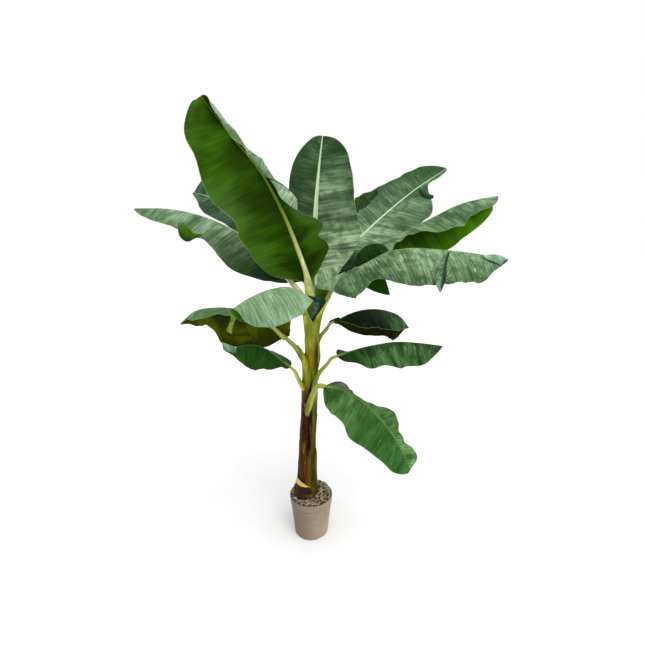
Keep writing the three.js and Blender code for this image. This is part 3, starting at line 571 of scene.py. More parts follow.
# Broad lower ends of stalks and of a midrib that show in front, as their left and right edges, and which
# part of the stalk's colours they take
CHANNELS = {
    "tall_left_channel": {
        "from": [(-25, -50, 1665), (-30, -50, 1735), (-30, -70, 1785),
                 (-40, -95, 1850), (-50, -110, 1895)],
        "to": [(35, -50, 1665), (20, -50, 1735), (5, -70, 1785), (-15, -95, 1850), (-30, -110, 1895)],
        "bulge": 8, "skin": "pale_stalk", "shares": (0.6, 1),
    },
    "hanging_left_channel": {
        "from": [(-155, -105, 1410), (-195, -110, 1455), (-235, -110, 1495)],
        "to": [(-135, -105, 1425), (-180, -110, 1475), (-220, -110, 1510)],
        "bulge": 4, "skin": "stalk", "shares": (0.6, 1),
    },
    "centre_channel": {
        "from": [(30, -20, 1710), (30, -15, 1770), (25, -10, 1850)],
        "to": [(50, -20, 1710), (45, -15, 1780), (45, -10, 1860)],
        "bulge": 3, "skin": "rib_upper", "shares": (0.3, 1),
    },
    "front_left_wrap": {
        "from": [(-25, -40, 1215), (-25, -40, 1320), (-30, -55, 1415),
                 (-35, -75, 1500), (-40, -100, 1570)],
        "to": [(35, -50, 1180), (50, -65, 1315), (40, -90, 1410), (15, -100, 1485), (-10, -110, 1570)],
        "bulge": 20, "skin": "stalk", "shares": (0.35, 0.7),
    },
    "hanging_left_wrap": {
        "from": [(-55, -45, 990), (-50, -50, 1105), (-50, -60, 1250),
                 (-65, -78, 1345), (-76, -76, 1375)],
        "to": [(-15, -60, 990), (5, -60, 1090), (10, -65, 1185), (-15, -75, 1285), (-72, -76, 1380)],
        "bulge": 16, "skin": "stalk", "shares": (0.12, 0.6),
    },
    "arching_right_wrap": {
        "from": [(40, -55, 1365), (25, -70, 1450), (20, -80, 1500), (40, -95, 1550), (80, -100, 1610),
                 (115, -90, 1660)],
        "to": [(55, -45, 1360), (60, -45, 1440), (70, -60, 1515), (85, -80, 1580), (110, -90, 1635),
               (145, -80, 1690)],
        "bulge": 5, "skin": "stalk", "shares": (0.35, 0.8),
    },
}

# Water spots and pale scratches on some blades
SPOTTED = {"front_left": 0.7, "arching_right": 0.45}
SCRATCHED = {
    "arching_right": 0.7, "front_left": 0.25, "hanging_left": 0.3, "low_right": 0.3, "back_right": 0.25,
}
FEW_SCRATCHES = 0.12


# Simple rules


def linear(colour):
    """Scene-linear colour with alpha from red, green and blue of 255."""
    out = []
    for channel in colour:
        share = channel / 255
        out.append(share / 12.92 if share <= 0.04045 else ((share + 0.055) / 1.055) ** 2.4)
    return (*out, 1.0)


def smoothstep(low, high, value):
    share = np.clip((value - low) / (high - low), 0, 1)
    return share * share * (3 - 2 * share)


def along(pairs, value):
    """Value at a place from pairs of place and value."""
    return float(np.interp(value, [p[0] for p in pairs], [p[1] for p in pairs]))


def between(values, t):
    """Eased value at t from 0 to 1, from a list at equal steps."""
    last = len(values) - 1
    x = min(max(t, 0), 1) * last
    i = min(int(x), last - 1)
    s = x - i
    before, low = values[max(i - 1, 0)], values[i]
    high, after = values[i + 1], values[min(i + 2, last)]
    leave = (high - before) / 2
    arrive = (after - low) / 2
    return ((2 * s**3 - 3 * s * s + 1) * low + (s**3 - 2 * s * s + s) * leave
            + (-2 * s**3 + 3 * s * s) * high + (s**3 - s * s) * arrive)


def unit(vector):
    return vector / np.linalg.norm(vector)


class Path:
    """Smooth curve through points, by chord length."""

    def __init__(self, points):
        self.p = np.array(points, float)
        steps = np.linalg.norm(np.diff(self.p, axis=0), axis=1)
        self.length = steps.sum()
        self.k = np.concatenate([[0], np.cumsum(steps)]) / self.length
        chord = np.diff(self.p, axis=0) / np.diff(self.k)[:, None]
        before, after = np.diff(self.k)[:-1, None], np.diff(self.k)[1:, None]
        slope = np.zeros_like(self.p)
        slope[1:-1] = (chord[:-1] * after + chord[1:] * before) / (before + after)
        slope[0] = 1.5 * chord[0] - 0.5 * slope[1]
        slope[-1] = 1.5 * chord[-1] - 0.5 * slope[-2]
        self.slope = slope

    def at(self, u):
        """Position and direction at u from 0 to 1."""
        i = min(max(int(np.searchsorted(self.k, u, side="right")) - 1, 0), len(self.p) - 2)
        h = self.k[i + 1] - self.k[i]
        s = (u - self.k[i]) / h
        p, q, m, n = self.p[i], self.p[i + 1], self.slope[i] * h, self.slope[i + 1] * h
        place = ((2 * s**3 - 3 * s * s + 1) * p + (s**3 - 2 * s * s + s) * m
                 + (-2 * s**3 + 3 * s * s) * q + (s**3 - s * s) * n)
        way = ((6 * s * s - 6 * s) * (p - q) + (3 * s * s - 4 * s + 1) * m + (3 * s * s - 2 * s) * n)
        return place, unit(way)


def section_frame(direction, faces):
    """Across and up directions of a section whose upper side faces a given way."""
    across = unit(np.cross(direction, faces))
    return across, np.cross(across, direction)


def wander(seed, count, size):
    """Smooth function of one number made of sines at random: count waves of about the given length."""
    rng = random.Random(seed)
    waves = []
    for _ in range(count):
        waves.append((rng.uniform(0.6, 1.7) / size, rng.uniform(0, 2 * math.pi), rng.uniform(0.5, 1)))
    total = sum(w[2] for w in waves)
    return lambda x: sum(w[2] * np.sin(2 * math.pi * w[0] * x + w[1]) for w in waves) / total


# Materials


class Look:
    """A material of nodes. Each method adds a node and returns what it gives."""

    def __init__(self, name, roughness=0.6, specular=0.5):
        self.material = bpy.data.materials.new(name)
        self.material.use_nodes = True
        self.nodes = self.material.node_tree.nodes
        self.shader = self.nodes["Principled BSDF"]
        self.set(self.shader.inputs["Roughness"], roughness)
        self.set(self.shader.inputs["Specular IOR Level"], specular)

    def set(self, socket, value):
        if isinstance(value, bpy.types.NodeSocket):
            self.material.node_tree.links.new(value, socket)
        else:
            socket.default_value = value

    def node(self, kind, **inputs):
        node = self.nodes.new(kind)
        for name, value in inputs.items():
            self.set(node.inputs[name.replace("_", " ")], value)
        return node

    def place(self):
        return self.nodes.new("ShaderNodeTexCoord").outputs["Object"]

    def mesh_place(self):
        """Both places of the mesh's own map, from 0 to 1."""
        x, y, _ = self.split(self.nodes.new("ShaderNodeUVMap").outputs["UV"])
        return x, y

    def leaf_place(self):
        """Share of the length, share of the half, and 1 on the right half or 0 on the left one."""
        t, across = self.mesh_place()
        signed = self.times_plus(across, 2.0, -1.0)
        return t, self.math("ABSOLUTE", signed), self.math("GREATER_THAN", across, 0.5)

    def split(self, vector):
        node = self.node("ShaderNodeSeparateXYZ", Vector=vector)
        return node.outputs["X"], node.outputs["Y"], node.outputs["Z"]

    def join(self, x, y, z=0.0):
        return self.node("ShaderNodeCombineXYZ", X=x, Y=y, Z=z).outputs["Vector"]

    def stretch(self, vector, scale):
        node = self.nodes.new("ShaderNodeVectorMath")
        node.operation = "MULTIPLY"
        self.set(node.inputs[0], vector)
        self.set(node.inputs[1], scale)
        return node.outputs["Vector"]

    def math(self, operation, a, b=0.0, c=0.0):
        node = self.nodes.new("ShaderNodeMath")
        node.operation = operation
        for socket, value in zip(node.inputs, (a, b, c)):
            self.set(socket, value)
        return node.outputs["Value"]

    def times(self, a, b):
        return self.math("MULTIPLY", a, b)

    def plus(self, a, b):
        return self.math("ADD", a, b)

    def times_plus(self, a, b, c):
        return self.math("MULTIPLY_ADD", a, b, c)

    def shade(self, colour, amount):
        """The colour made darker or lighter by a number."""
        grey = self.node("ShaderNodeCombineColor", Red=amount, Green=amount, Blue=amount).outputs["Color"]
        return self.mix(1.0, colour, grey, "MULTIPLY")

    def noise(self, vector, scale, detail=4.0, roughness=0.55, distortion=0.0):
        node = self.node("ShaderNodeTexNoise", Vector=vector, Scale=scale, Detail=detail,
                         Roughness=roughness, Distortion=distortion)
        return node.outputs["Fac"]

    def grain(self, vector, scale, detail, roughness, distortion=0.0):
        """Noise with a scale of its own along each way."""
        return self.noise(self.stretch(vector, scale), 1.0, detail, roughness, distortion)

    def streaks(self, where, lengthwise, crosswise, detail, roughness):
        """Noise over a leaf, at a place along it, a share of the half and a number of the half."""
        length, share, half = where
        stretched = self.join(self.times(length, lengthwise), self.times(share, crosswise), half)
        return self.noise(stretched, 1.0, detail, roughness)

    def spots(self, vector):
        """Distance from the nearest of many scattered points."""
        return self.node("ShaderNodeTexVoronoi", Vector=vector, Scale=1.0).outputs["Distance"]

    def range(self, value, low, high, to_low=0.0, to_high=1.0):
        node = self.nodes.new("ShaderNodeMapRange")
        node.interpolation_type = "SMOOTHSTEP"
        for name, number in (("Value", value), ("From Min", low), ("From Max", high),
                             ("To Min", to_low), ("To Max", to_high)):
            self.set(node.inputs[name], number)
        return node.outputs["Result"]

    def steps(self, value, numbers):
        """Number that follows a list at equal steps of value from 0 to 1."""
        ramp = self.node("ShaderNodeValToRGB", Fac=value)
        elements = ramp.color_ramp.elements
        for i, number in enumerate(numbers):
            at = i / (len(numbers) - 1)
            element = elements[0] if i == 0 else elements[-1] if i == len(numbers) - 1 else elements.new(at)
            element.position = at
            element.color = (number, number, number, 1)
        return ramp.outputs["Color"]

    def mix(self, amount, a, b, kind="MIX"):
        node = self.nodes.new("ShaderNodeMix")
        node.data_type = "RGBA"
        node.blend_type = kind
        self.set(node.inputs[0], amount)
        self.set(node.inputs[6], a)
        self.set(node.inputs[7], b)
        return node.outputs[2]

    def colour(self, value):
        self.set(self.shader.inputs["Base Color"], value)

    def bump(self, height, distance, strength=1.0):
        node = self.node("ShaderNodeBump", Height=height, Strength=strength, Distance=distance)
        self.set(self.shader.inputs["Normal"], node.outputs["Normal"])


def blade_upper(name, length, look, seed):
    """Upper side: deep green with side veins, folds from rib to edge, bloom and painted sheen, spots and
    pale scratches.
    """
    m = Look(name + "_upper", specular=0.07)
    t, s, right = m.leaf_place()
    half_seed = m.times_plus(right, 31.7, seed)
    metres = m.times(t, length)
    slant = m.times_plus(s, -0.02, metres)
    veins = m.streaks((slant, s, half_seed), 115, 1.2, 3, 0.65)
    folds = m.streaks((slant, s, half_seed), 17, 0.7, 3, 0.6)
    patches = m.noise(m.place(), 6.0, 3, 0.5)
    # The bloom's amounts along each half are partly painted light and shade, its colour partly painted
    # sheen.
    steps = m.mix(right, m.steps(t, look["left"]), m.steps(t, look["right"]))
    dark_left, dark_right = SHADED.get(name, ([0, 0], [0, 0]))
    dark = m.mix(right, m.steps(t, dark_left), m.steps(t, dark_right))
    amount = m.times(steps, m.range(patches, 0.3, 0.7, 0.7, 1.15))
    # Painted light and shade: more and less bloom in bands across the folds.
    amount = m.times(amount, m.range(folds, 0.36, 0.64, 0.35, 1.25))
    mottles = m.grain(m.place(), (14, 14, 14), 4, 0.6)
    amount = m.times(amount, m.range(mottles, 0.36, 0.56, 0.45, 1.1))
    amount = m.times(amount, m.range(s, 0.25, 1.0, 1.0, look["edge"]))
    colour = m.mix(m.math("MINIMUM", amount, 1.0), linear(look["deep"]), linear(look["bloom"]))
    colour = m.shade(colour, m.range(veins, 0.34, 0.68, 0.6, 1.32))
    lines = m.streaks((slant, s, half_seed), 70, 3.5, 2, 0.7)
    scratch = m.range(lines, 0.66, 0.74, 0.0, SCRATCHED.get(name, FEW_SCRATCHES))
    colour = m.mix(scratch, colour, linear((196, 210, 172)))
    spots = m.spots(m.join(m.times(metres, 90), m.times(s, 9), half_seed))
    wet = m.times(m.range(spots, 0.12, 0.2, 1.0, 0.0), m.range(patches, 0.42, 0.55, 0.0, 1.0))
    colour = m.mix(m.times(wet, SPOTTED.get(name, 0.0)), colour, linear((196, 220, 190)))
    m.colour(m.mix(dark, colour, linear(SHADE_TONE.get(name, DEEPEST_SHADE))))
    m.set(m.shader.inputs["Roughness"], m.range(patches, 0.3, 0.7, 0.42, 0.56))
    m.bump(m.plus(m.times(veins, 0.4), folds), 0.004, 0.9)
    return m.material


def blade_under(name, length, look, seed):
    """Under side: yellower green, darkest beside the midrib, with raised side veins and soft folds."""
    m = Look(name + "_under", roughness=0.6, specular=0.03)
    t, s, right = m.leaf_place()
    half_seed = m.times_plus(right, 17.3, seed)
    metres = m.times(t, length)
    slant = m.times_plus(s, -0.02, metres)
    veins = m.streaks((slant, s, half_seed), 100, 1.2, 3, 0.6)
    folds = m.streaks((slant, s, half_seed), 9, 0.8, 2, 0.5)
    # Painted light and shade: lighter and darker bands across the soft folds. The under colour's
    # yellow-green is partly painted light shining through the blade.
    tone = m.plus(m.range(s, 0.0, 0.9, 0.0, 0.7), m.range(folds, 0.3, 0.7, -0.3, 0.45))
    dark = tuple(0.52 * c for c in look["under"])
    colour = m.mix(m.range(tone, 0.0, 1.0), linear(dark), linear(look["under"]))
    colour = m.shade(colour, m.range(veins, 0.35, 0.72, 0.86, 1.2))
    haze_left, haze_right = HAZE.get(name, ([0, 0], [0, 0]))
    haze = m.mix(right, m.steps(t, haze_left), m.steps(t, haze_right))
    haze = m.times(haze, m.range(m.times_plus(folds, 0.8, s), 0.75, 1.4))
    m.colour(m.mix(haze, colour, linear((104, 130, 78))))
    m.bump(m.plus(m.times(veins, 0.5), folds), 0.004, 0.8)
    return m.material


def rib_skin(name, base, tip, pale_share):
    """Midrib: pale at the base, greener beyond a share of its length, with fine lines along it."""
    m = Look(name, roughness=0.5, specular=0.2)
    t, s, right = m.leaf_place()
    lines = m.streaks((t, s, right), 3.0, 90.0, 2, 0.6)
    colour = m.mix(m.range(t, 0.0, pale_share), linear(base), linear(tip))
    m.colour(m.shade(colour, m.range(lines, 0.3, 0.7, 0.85, 1.12)))
    m.bump(lines, 0.001, 0.5)
    return m.material


def fibrous(name, dark, light, roughness, stretch):
    """Plant skin with fibres along its length, for midribs and edges."""
    m = Look(name, roughness=roughness, specular=0.4)
    fibres = m.grain(m.place(), stretch, 4, 0.6)
    m.colour(m.mix(m.range(fibres, 0.3, 0.72), linear(dark), linear(light)))
    m.bump(fibres, 0.0012, 0.6)
    return m.material


def aside_of_stem(m, x, z):
    """How far to the right of the leaning stem's middle a place lies, in radii."""
    lean = m.times_plus(z, -STEM_LEAN["slope"], STEM_LEAN["offset"])
    return m.times(m.plus(x, lean), 1 / STEM_LEAN["radius"])


def stalk_tones(m, low, high):
    """Colour of stalks by place: yellow-green with a waxy bloom, fine fibres and brown freckles."""
    place = m.place()
    fibres = m.grain(place, (110, 110, 16), 4, 0.6)
    patches = m.grain(place, (22, 22, 7), 3, 0.55)
    base = m.mix(m.range(patches, 0.34, 0.66), linear(low), linear(high))
    base = m.shade(base, m.range(fibres, 0.3, 0.72, 0.72, 1.25))
    x, _, z = m.split(place)
    aside = aside_of_stem(m, x, z)
    inside = m.range(m.math("ABSOLUTE", m.times_plus(patches, 0.3, aside)), 1.05, 0.95)
    height = m.times(m.range(z, 1.16, 1.22), m.range(m.times_plus(patches, 0.15, z), 1.56, 1.4))
    brown = m.times(inside, height)
    base = m.mix(m.times(brown, m.range(aside, -0.5, 0.2, 0.0, 0.75)), base, linear((112, 84, 0)))
    base = m.mix(m.times(brown, m.range(aside, 0.25, 0.65, 0.0, 0.85)), base, linear((54, 24, 12)))
    freckles = m.range(m.grain(place, (130, 130, 50), 2, 0.6), 0.64, 0.72, 0.0, 0.8)
    return m.mix(freckles, base, linear((60, 42, 8))), fibres


def stalk_skin(name, low, high, pale):
    """Stalk skin, paler towards the blade, fading into the stem's own tones at its lower end."""
    m = Look(name, roughness=0.45, specular=0.1)
    t, s, _ = m.leaf_place()
    base, fibres = stalk_tones(m, low, high)
    # Paler towards the blade: partly the stalk's own whitish tone, partly a painted highlight.
    base = m.mix(m.range(t, 0.55, 0.95, 0.0, 0.6), base, linear(pale))
    # Painted shade: darker towards the stalk's sides, so that it looks round.
    base = m.shade(base, m.range(s, 0.45, 1.0, 1.1, 0.6))
    stem_colour, _, stains = stem_tones(m)
    m.colour(m.mix(m.range(m.times_plus(stains, 0.2, t), 0.3, 0.56), stem_colour, base))
    m.bump(fibres, 0.0016, 0.7)
    return m.material


def stem_tones(m):
    """Colour, relief and stains of the stem by place: maroon left, olive right, yellow-green further up."""
    place = m.place()
    x, y, z = m.split(place)
    aside = aside_of_stem(m, x, z)
    fibres = m.grain(place, (170, 170, 9), 5, 0.62)
    strips = m.grain(place, (46, 46, 1.6), 4, 0.6)
    stains = m.grain(place, (38, 38, 5.5), 4, 0.62, 0.4)
    maroon = m.mix(m.range(strips, 0.38, 0.56), linear((74, 40, 8)), linear((46, 20, 3)))
    maroon = m.mix(m.range(stains, 0.56, 0.64, 0.0, 0.8), maroon, linear((118, 82, 12)))
    olive = m.mix(m.range(strips, 0.4, 0.62), linear((94, 86, 4)), linear((70, 52, 8)))
    to_right = m.range(m.times_plus(strips, 0.5, aside), 0.2, 0.55)
    low = m.mix(to_right, maroon, olive)
    high = m.mix(m.range(strips, 0.38, 0.6), linear((88, 84, 4)), linear((132, 138, 20)))
    skin = m.mix(m.range(m.times_plus(stains, 0.3, z), 1.12, 1.42), low, high)
    skin = m.shade(skin, m.range(fibres, 0.3, 0.72, 0.62, 1.3))
    # Painted shadow: a black streak down the front, low on the stem, where two sheath edges leave a gap;
    # near-black strips along the fibres elsewhere.
    from_streak = m.math("ABSOLUTE", m.plus(aside, m.range(stains, 0.2, 0.8, -0.4, 0.08)))
    streak = m.range(from_streak, 0.1, 0.22, 1, 0)
    streak = m.times(streak, m.times(m.range(z, 0.56, 0.66), m.range(z, 1.3, 1.2)))
    streak = m.times(streak, m.range(y, 0.0, -0.02))
    black = m.math("MAXIMUM", streak, m.range(strips, 0.6, 0.64, 0.0, 0.55))
    skin = m.mix(black, skin, linear((14, 6, 2)))
    # Near-black in patches towards the foot: partly the stem's own dark base, partly painted shadow in the
    # hollow round the foot.
    foot = m.times(m.range(z, 0.3, 0.4, 1.0, 0.0), m.range(stains, 0.4, 0.6, 0.5, 1.0))
    relief = m.plus(fibres, m.times(strips, 1.2))
    return m.mix(foot, skin, linear((30, 14, 8))), relief, stains


def sheath_skin():
    """Sheath strap: yellow-green like the stalk above, fading into the stem's own tones below."""
    m = Look("sheath_skin", roughness=0.5, specular=0.1)
    t, s, _ = m.leaf_place()
    stem_colour, relief, stains = stem_tones(m)
    green, fibres = stalk_tones(m, *STALK_TONES)
    amount = m.range(m.times_plus(stains, 0.5, t), 0.65, 1.05)
    colour = m.mix(amount, stem_colour, green)
    # Painted shade: darker towards the strap's sides, so that it looks round.
    colour = m.shade(colour, m.range(s, 0.3, 0.95, 1.1, 0.6))
    edge = m.times(m.range(s, 0.84, 0.97), m.range(t, 0.2, 0.5, 0.0, 0.9))
    colour = m.mix(edge, colour, linear((30, 18, 4)))
    m.colour(colour)
    m.bump(m.plus(fibres, relief), 0.003, 0.7)
    return m.material


def stem_skin():
    m = Look("stem_skin", specular=0.06)
    colour, relief, stains = stem_tones(m)
    m.colour(colour)
    m.set(m.shader.inputs["Roughness"], m.range(stains, 0.4, 0.65, 0.5, 0.65))
    m.bump(relief, 0.0035, 0.8)
    return m.material


def old_sheath(name, dark, light, patch, roughness):
    """Dead sheath: fibres up its height and stained patches."""
    m = Look(name, roughness=roughness, specular=0.06)
    place = m.place()
    fibres = m.grain(place, (150, 150, 22), 5, 0.62)
    stains = m.grain(place, (40, 40, 18), 3, 0.6)
    base = m.mix(m.range(fibres, 0.32, 0.7), linear(dark), linear(light))
    m.colour(m.mix(m.range(stains, 0.52, 0.66, 0.0, 0.8), base, linear(patch)))
    m.bump(fibres, 0.003, 0.8)
    return m.material


def cut_sheath():
    """Cut sheath: fresh yellow along its cut top, painted nearly black below as shadow in the hollow at the
    foot.
    """
    m = Look("cut_sheath", roughness=0.55, specular=0.15)
    across, height = m.mesh_place()
    fibres = m.grain(m.place(), (150, 150, 22), 5, 0.62)
    flesh = m.mix(m.range(across, 0.2, 0.55), linear((196, 164, 122)), linear((206, 174, 62)))
    flesh = m.shade(flesh, m.range(fibres, 0.3, 0.7, 0.75, 1.15))
    low_edge = m.range(across, 0.5, 1.0, 0.78, 1.02)
    top = m.range(m.math("SUBTRACT", m.times_plus(fibres, 0.2, height), low_edge), 0.04, 0.1)
    # Painted shadow: near-black below the cut top.
    m.colour(m.mix(top, linear((32, 14, 8)), flesh))
    m.bump(fibres, 0.003, 0.8)
    return m.material


def dry_sheath():
    """Dry sheath: brown like the stem's foot, with a pale papery rim at its side and bottom."""
    m = Look("dry_sheath", roughness=0.75, specular=0.06)
    across, height = m.mesh_place()
    place = m.place()
    fibres = m.grain(place, (150, 150, 12), 5, 0.62)
    stains = m.grain(place, (46, 46, 6), 3, 0.6)
    base = m.mix(m.range(stains, 0.4, 0.6), linear((88, 78, 8)), linear((62, 38, 8)))
    base = m.shade(base, m.range(fibres, 0.3, 0.7, 0.7, 1.2))
    rim = m.times(m.range(across, 0.1, 0.2), m.range(height, 0.06, 0.02))
    m.colour(m.mix(rim, base, linear((160, 146, 120))))
    m.bump(fibres, 0.003, 0.8)
    return m.material


def pot_plastic():
    """Taupe matt plastic, faintly mottled, scuffed round the foot and rim, with a painted shadow line under
    the collar and painted shade on its left side.
    """
    m = Look("pot_plastic", roughness=0.55, specular=0.4)
    place = m.place()
    x, _, z = m.split(place)
    mottle = m.noise(place, 38, 5, 0.6)
    clouds = m.noise(place, 7, 3, 0.5)
    base = m.mix(m.range(clouds, 0.3, 0.7), linear((122, 106, 89)), linear((136, 119, 102)))
    base = m.mix(m.range(mottle, 0.4, 0.75, 0.0, 0.35), base, linear((150, 133, 116)))
    scuffs = m.grain(place, (60, 60, 160), 4, 0.7)
    low = m.times(m.range(scuffs, 0.54, 0.68, 0.0, 0.55), m.range(z, 0.0, 0.12, 1.0, 0.25))
    base = m.mix(low, base, linear((92, 76, 62)))
    # Painted shadow: a dark line just under the collar's step.
    under_collar = m.math("ABSOLUTE", m.plus(z, -(POT["height"] - POT["collar_height"]) * MM))
    base = m.mix(m.range(under_collar, 0.002, 0.006, 0.5, 0.0), base, linear((70, 58, 46)))
    # Painted shade: darker on the left side and lighter on the right, as if lit from the right.
    m.colour(m.shade(base, m.range(x, -0.13, 0.1, 0.62, 1.2)))
    m.set(m.shader.inputs["Roughness"], m.range(mottle, 0.3, 0.7, 0.48, 0.66))
    m.bump(m.noise(place, 420, 2, 0.5), 0.0004, 0.5)
    return m.material


def earthy(name, dark, light, scale, roughness=0.95):
    m = Look(name, roughness=roughness, specular=0.2)
    place = m.place()
    grain = m.noise(place, scale, 5, 0.65)
    colour = m.mix(m.range(grain, 0.32, 0.7), linear(dark), linear(light))
    x, y, _ = m.split(place)
    aside = m.plus(x, -STEM_AXIS[0][0] * MM)
    from_stem = m.math("SQRT", m.times_plus(aside, aside, m.times(y, y)))
    # Painted shade: darker close round the stem's foot.
    m.colour(m.shade(colour, m.range(from_stem, 0.075, 0.1, 0.22, 1.0)))
    m.bump(grain, 0.003, 0.8)
    return m.material


def floor_paint():
    m = Look("floor_paint", roughness=0.9, specular=0.1)
    grain = m.noise(m.place(), 3.0, 2, 0.5)
    m.colour(m.mix(m.range(grain, 0.3, 0.7), (0.74, 0.74, 0.74, 1), (0.76, 0.76, 0.76, 1)))
    return m.material


# Meshes


def add_piece(name, points, faces, materials, indices=None, uv=None, sharp_deg=50):
    """Mesh object in metres from points in millimetres, shaded smooth, with its place in the mesh."""
    mesh = bpy.data.meshes.new(name)
    mesh.from_pydata((np.asarray(points) * MM).tolist(), [], faces)
    for material in materials:
        mesh.materials.append(material)
    if indices is not None:
        mesh.polygons.foreach_set("material_index", indices)
    mesh.polygons.foreach_set("use_smooth", [True] * len(mesh.polygons))
    if uv is not None:
        corners = np.zeros(len(mesh.loops), dtype=np.int32)
        mesh.loops.foreach_get("vertex_index", corners)
        layer = mesh.uv_layers.new(name="UVMap")
        layer.data.foreach_set("uv", np.asarray(uv)[corners].ravel())
    mesh.update()
    mesh.set_sharp_from_angle(angle=math.radians(sharp_deg))
    piece = bpy.data.objects.new(name, mesh)
    bpy.context.scene.collection.objects.link(piece)
    return piece


def carry(piece, slot, *nodes):
    """The piece rides with the plant and stands for the nodes, which are hidden; the slot is not used."""
    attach(piece, "root")
    if nodes:
        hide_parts(*nodes)


def band_faces(ring, next_ring):
    """Faces between two closed rings of points."""
    count = len(ring)
    return [(ring[i], ring[(i + 1) % count], next_ring[(i + 1) % count], next_ring[i]) for i in range(count)]


def tube_faces(rings):
    """Faces along closed rings of points, with both ends closed."""
    faces = []
    for ring, next_ring in zip(rings, rings[1:]):
        faces += band_faces(ring, next_ring)
    return faces + [tuple(reversed(rings[0])), tuple(rings[-1])]


def around(centre, radius, angle, z):
    """Point at a height, at an angle and a radius round a centre."""
    return (centre[0] + radius * math.cos(angle), centre[1] + radius * math.sin(angle), z)


def half_width(leaf, half, t):
    """Half width of a blade: rounded at base and tip, with V-shaped tears."""
    width = between(half["width"], t)
    from_base = max(0, t - BLADE_BEGINS.get(leaf["name"], 0))
    if from_base < BLADE["base_cap"]:
        width *= math.sqrt(1 - (1 - from_base / BLADE["base_cap"]) ** 2)
    if t > 1 - BLADE["tip_cap"]:
        width *= math.sqrt(max(0, 1 - ((t - 1 + BLADE["tip_cap"]) / BLADE["tip_cap"]) ** 2))
    for at, wide, deep in half.get("tears", ()):
        off = abs(t - at) / wide
        if off < 1:
            width *= 1 - deep * (1 - off)
    return max(width, BLADE["start_share"] * leaf["thick"][1] if t < 0.5 else BLADE["tip_half_width"])


def blade_rows(leaf, length):
    """Places of the rows along the blade, closer at the rounded ends and at the tears."""
    count = round(length / BLADE_GRID["row_every"])
    rows = [i / count for i in range(count + 1)]
    for half in (leaf["left"], leaf["right"]):
        for at, wide, _ in half.get("tears", ()):
            rows += [at - wide, at - wide / 2, at, at + wide / 2, at + wide]
    cap = BLADE["tip_cap"]
    rows += [BLADE["base_cap"] * share for share in (0.03, 0.1)]
    rows += [1 - cap * share for share in (0.01, 0.03)]
    rows.sort()
    kept = [rows[0]]
    for t in rows[1:]:
        if t - kept[-1] > BLADE_GRID["closest_rows"]:
            kept.append(t)
    return kept


def column_places(width, rib):
    """Distances from the midrib's middle to the edge, with columns over the rib and at the edge."""
    rib = min(rib, 0.5 * width)
    near = [rib * i / BLADE_GRID["rib_columns"] for i in range(BLADE_GRID["rib_columns"] + 1)]
    edge = max(width - MARGIN_BAND, rib + 0.8 * (width - rib))
    count = BLADE_GRID["columns"]
    far = [rib + (edge - rib) * i / count for i in range(1, count + 1)]
    return np.array(near + far + [width]), rib


def edge_turn(name, key, t, share):
    """Degrees by which the edge of a half turns at a place of the blade, at shares of the half."""
    turn = np.zeros(len(share))
    for which, first, last, low, high, degrees in TURNS.get(name, ()):
        if which == key:
            ease = TURN_EASE * (last - first)
            amount = degrees * smoothstep(first, first + ease, t) * smoothstep(last, last - ease, t)
            turn += amount * smoothstep(low, high, share)
    return turn


def blade_half(leaf, key, t, position, direction, wave, pleat):
    """Upper and under points of one half across the blade, from the midrib to the edge, and their shares."""
    name, half = leaf["name"], leaf[key]
    side = 1 if key == "right" else -1
    across, up = section_frame(direction, np.array(leaf["faces"], float))
    rib_now = RIB_TIP_RADIUS + (leaf["thick"][1] - RIB_TIP_RADIUS) * (1 - t) ** RIB_TAPER
    width = half_width(leaf, half, t)
    sweep = BLADE["sweep"] - half.get("lobe", 0) * max(0, 1 - t / BLADE["lobe_reach"]) ** 2
    flat = min(1, width / BLADE["flat_below_width"])
    dist, rib = column_places(width, rib_now * RIB_BROADER.get(name, 1))
    share = dist / width
    middle = (dist[1:] + dist[:-1]) / 2 / width
    droop = between(half["drop"], t)
    angle = np.radians((droop + half["curl"] * (middle - 0.5) + edge_turn(name, key, t, middle)) * flat)
    move = np.diff(dist)[:, None] * (side * np.cos(angle)[:, None] * across - np.sin(angle)[:, None] * up
                                     + sweep * direction)
    places = position + np.vstack([np.zeros(3), np.cumsum(move, axis=0)])
    here = np.radians((droop + half["curl"] * (share - 0.5) + edge_turn(name, key, t, share)) * flat)
    here[0] = 0
    normals = side * np.sin(here)[:, None] * across + np.cos(here)[:, None] * up
    ends = min(1, 6 * t) * min(1, 8 * (1 - t))
    relief = WAVES[name][0] * ends * flat * share**2 * wave
    relief = relief + PLEAT["height"] * flat * smoothstep(0.02, 0.4, share) * pleat
    inside = np.clip(dist / max(rib, 1e-6), 0, 1)
    groove = -RIB_GROOVE * rib_now * (1 - inside**2)
    ridge = rib_now * np.sqrt(1 - inside**2)
    over = places + normals * (relief + BLADE_THICKNESS / 2 + groove)[:, None]
    under = places + normals * (relief - BLADE_THICKNESS / 2 - ridge)[:, None]
    return over, under, share


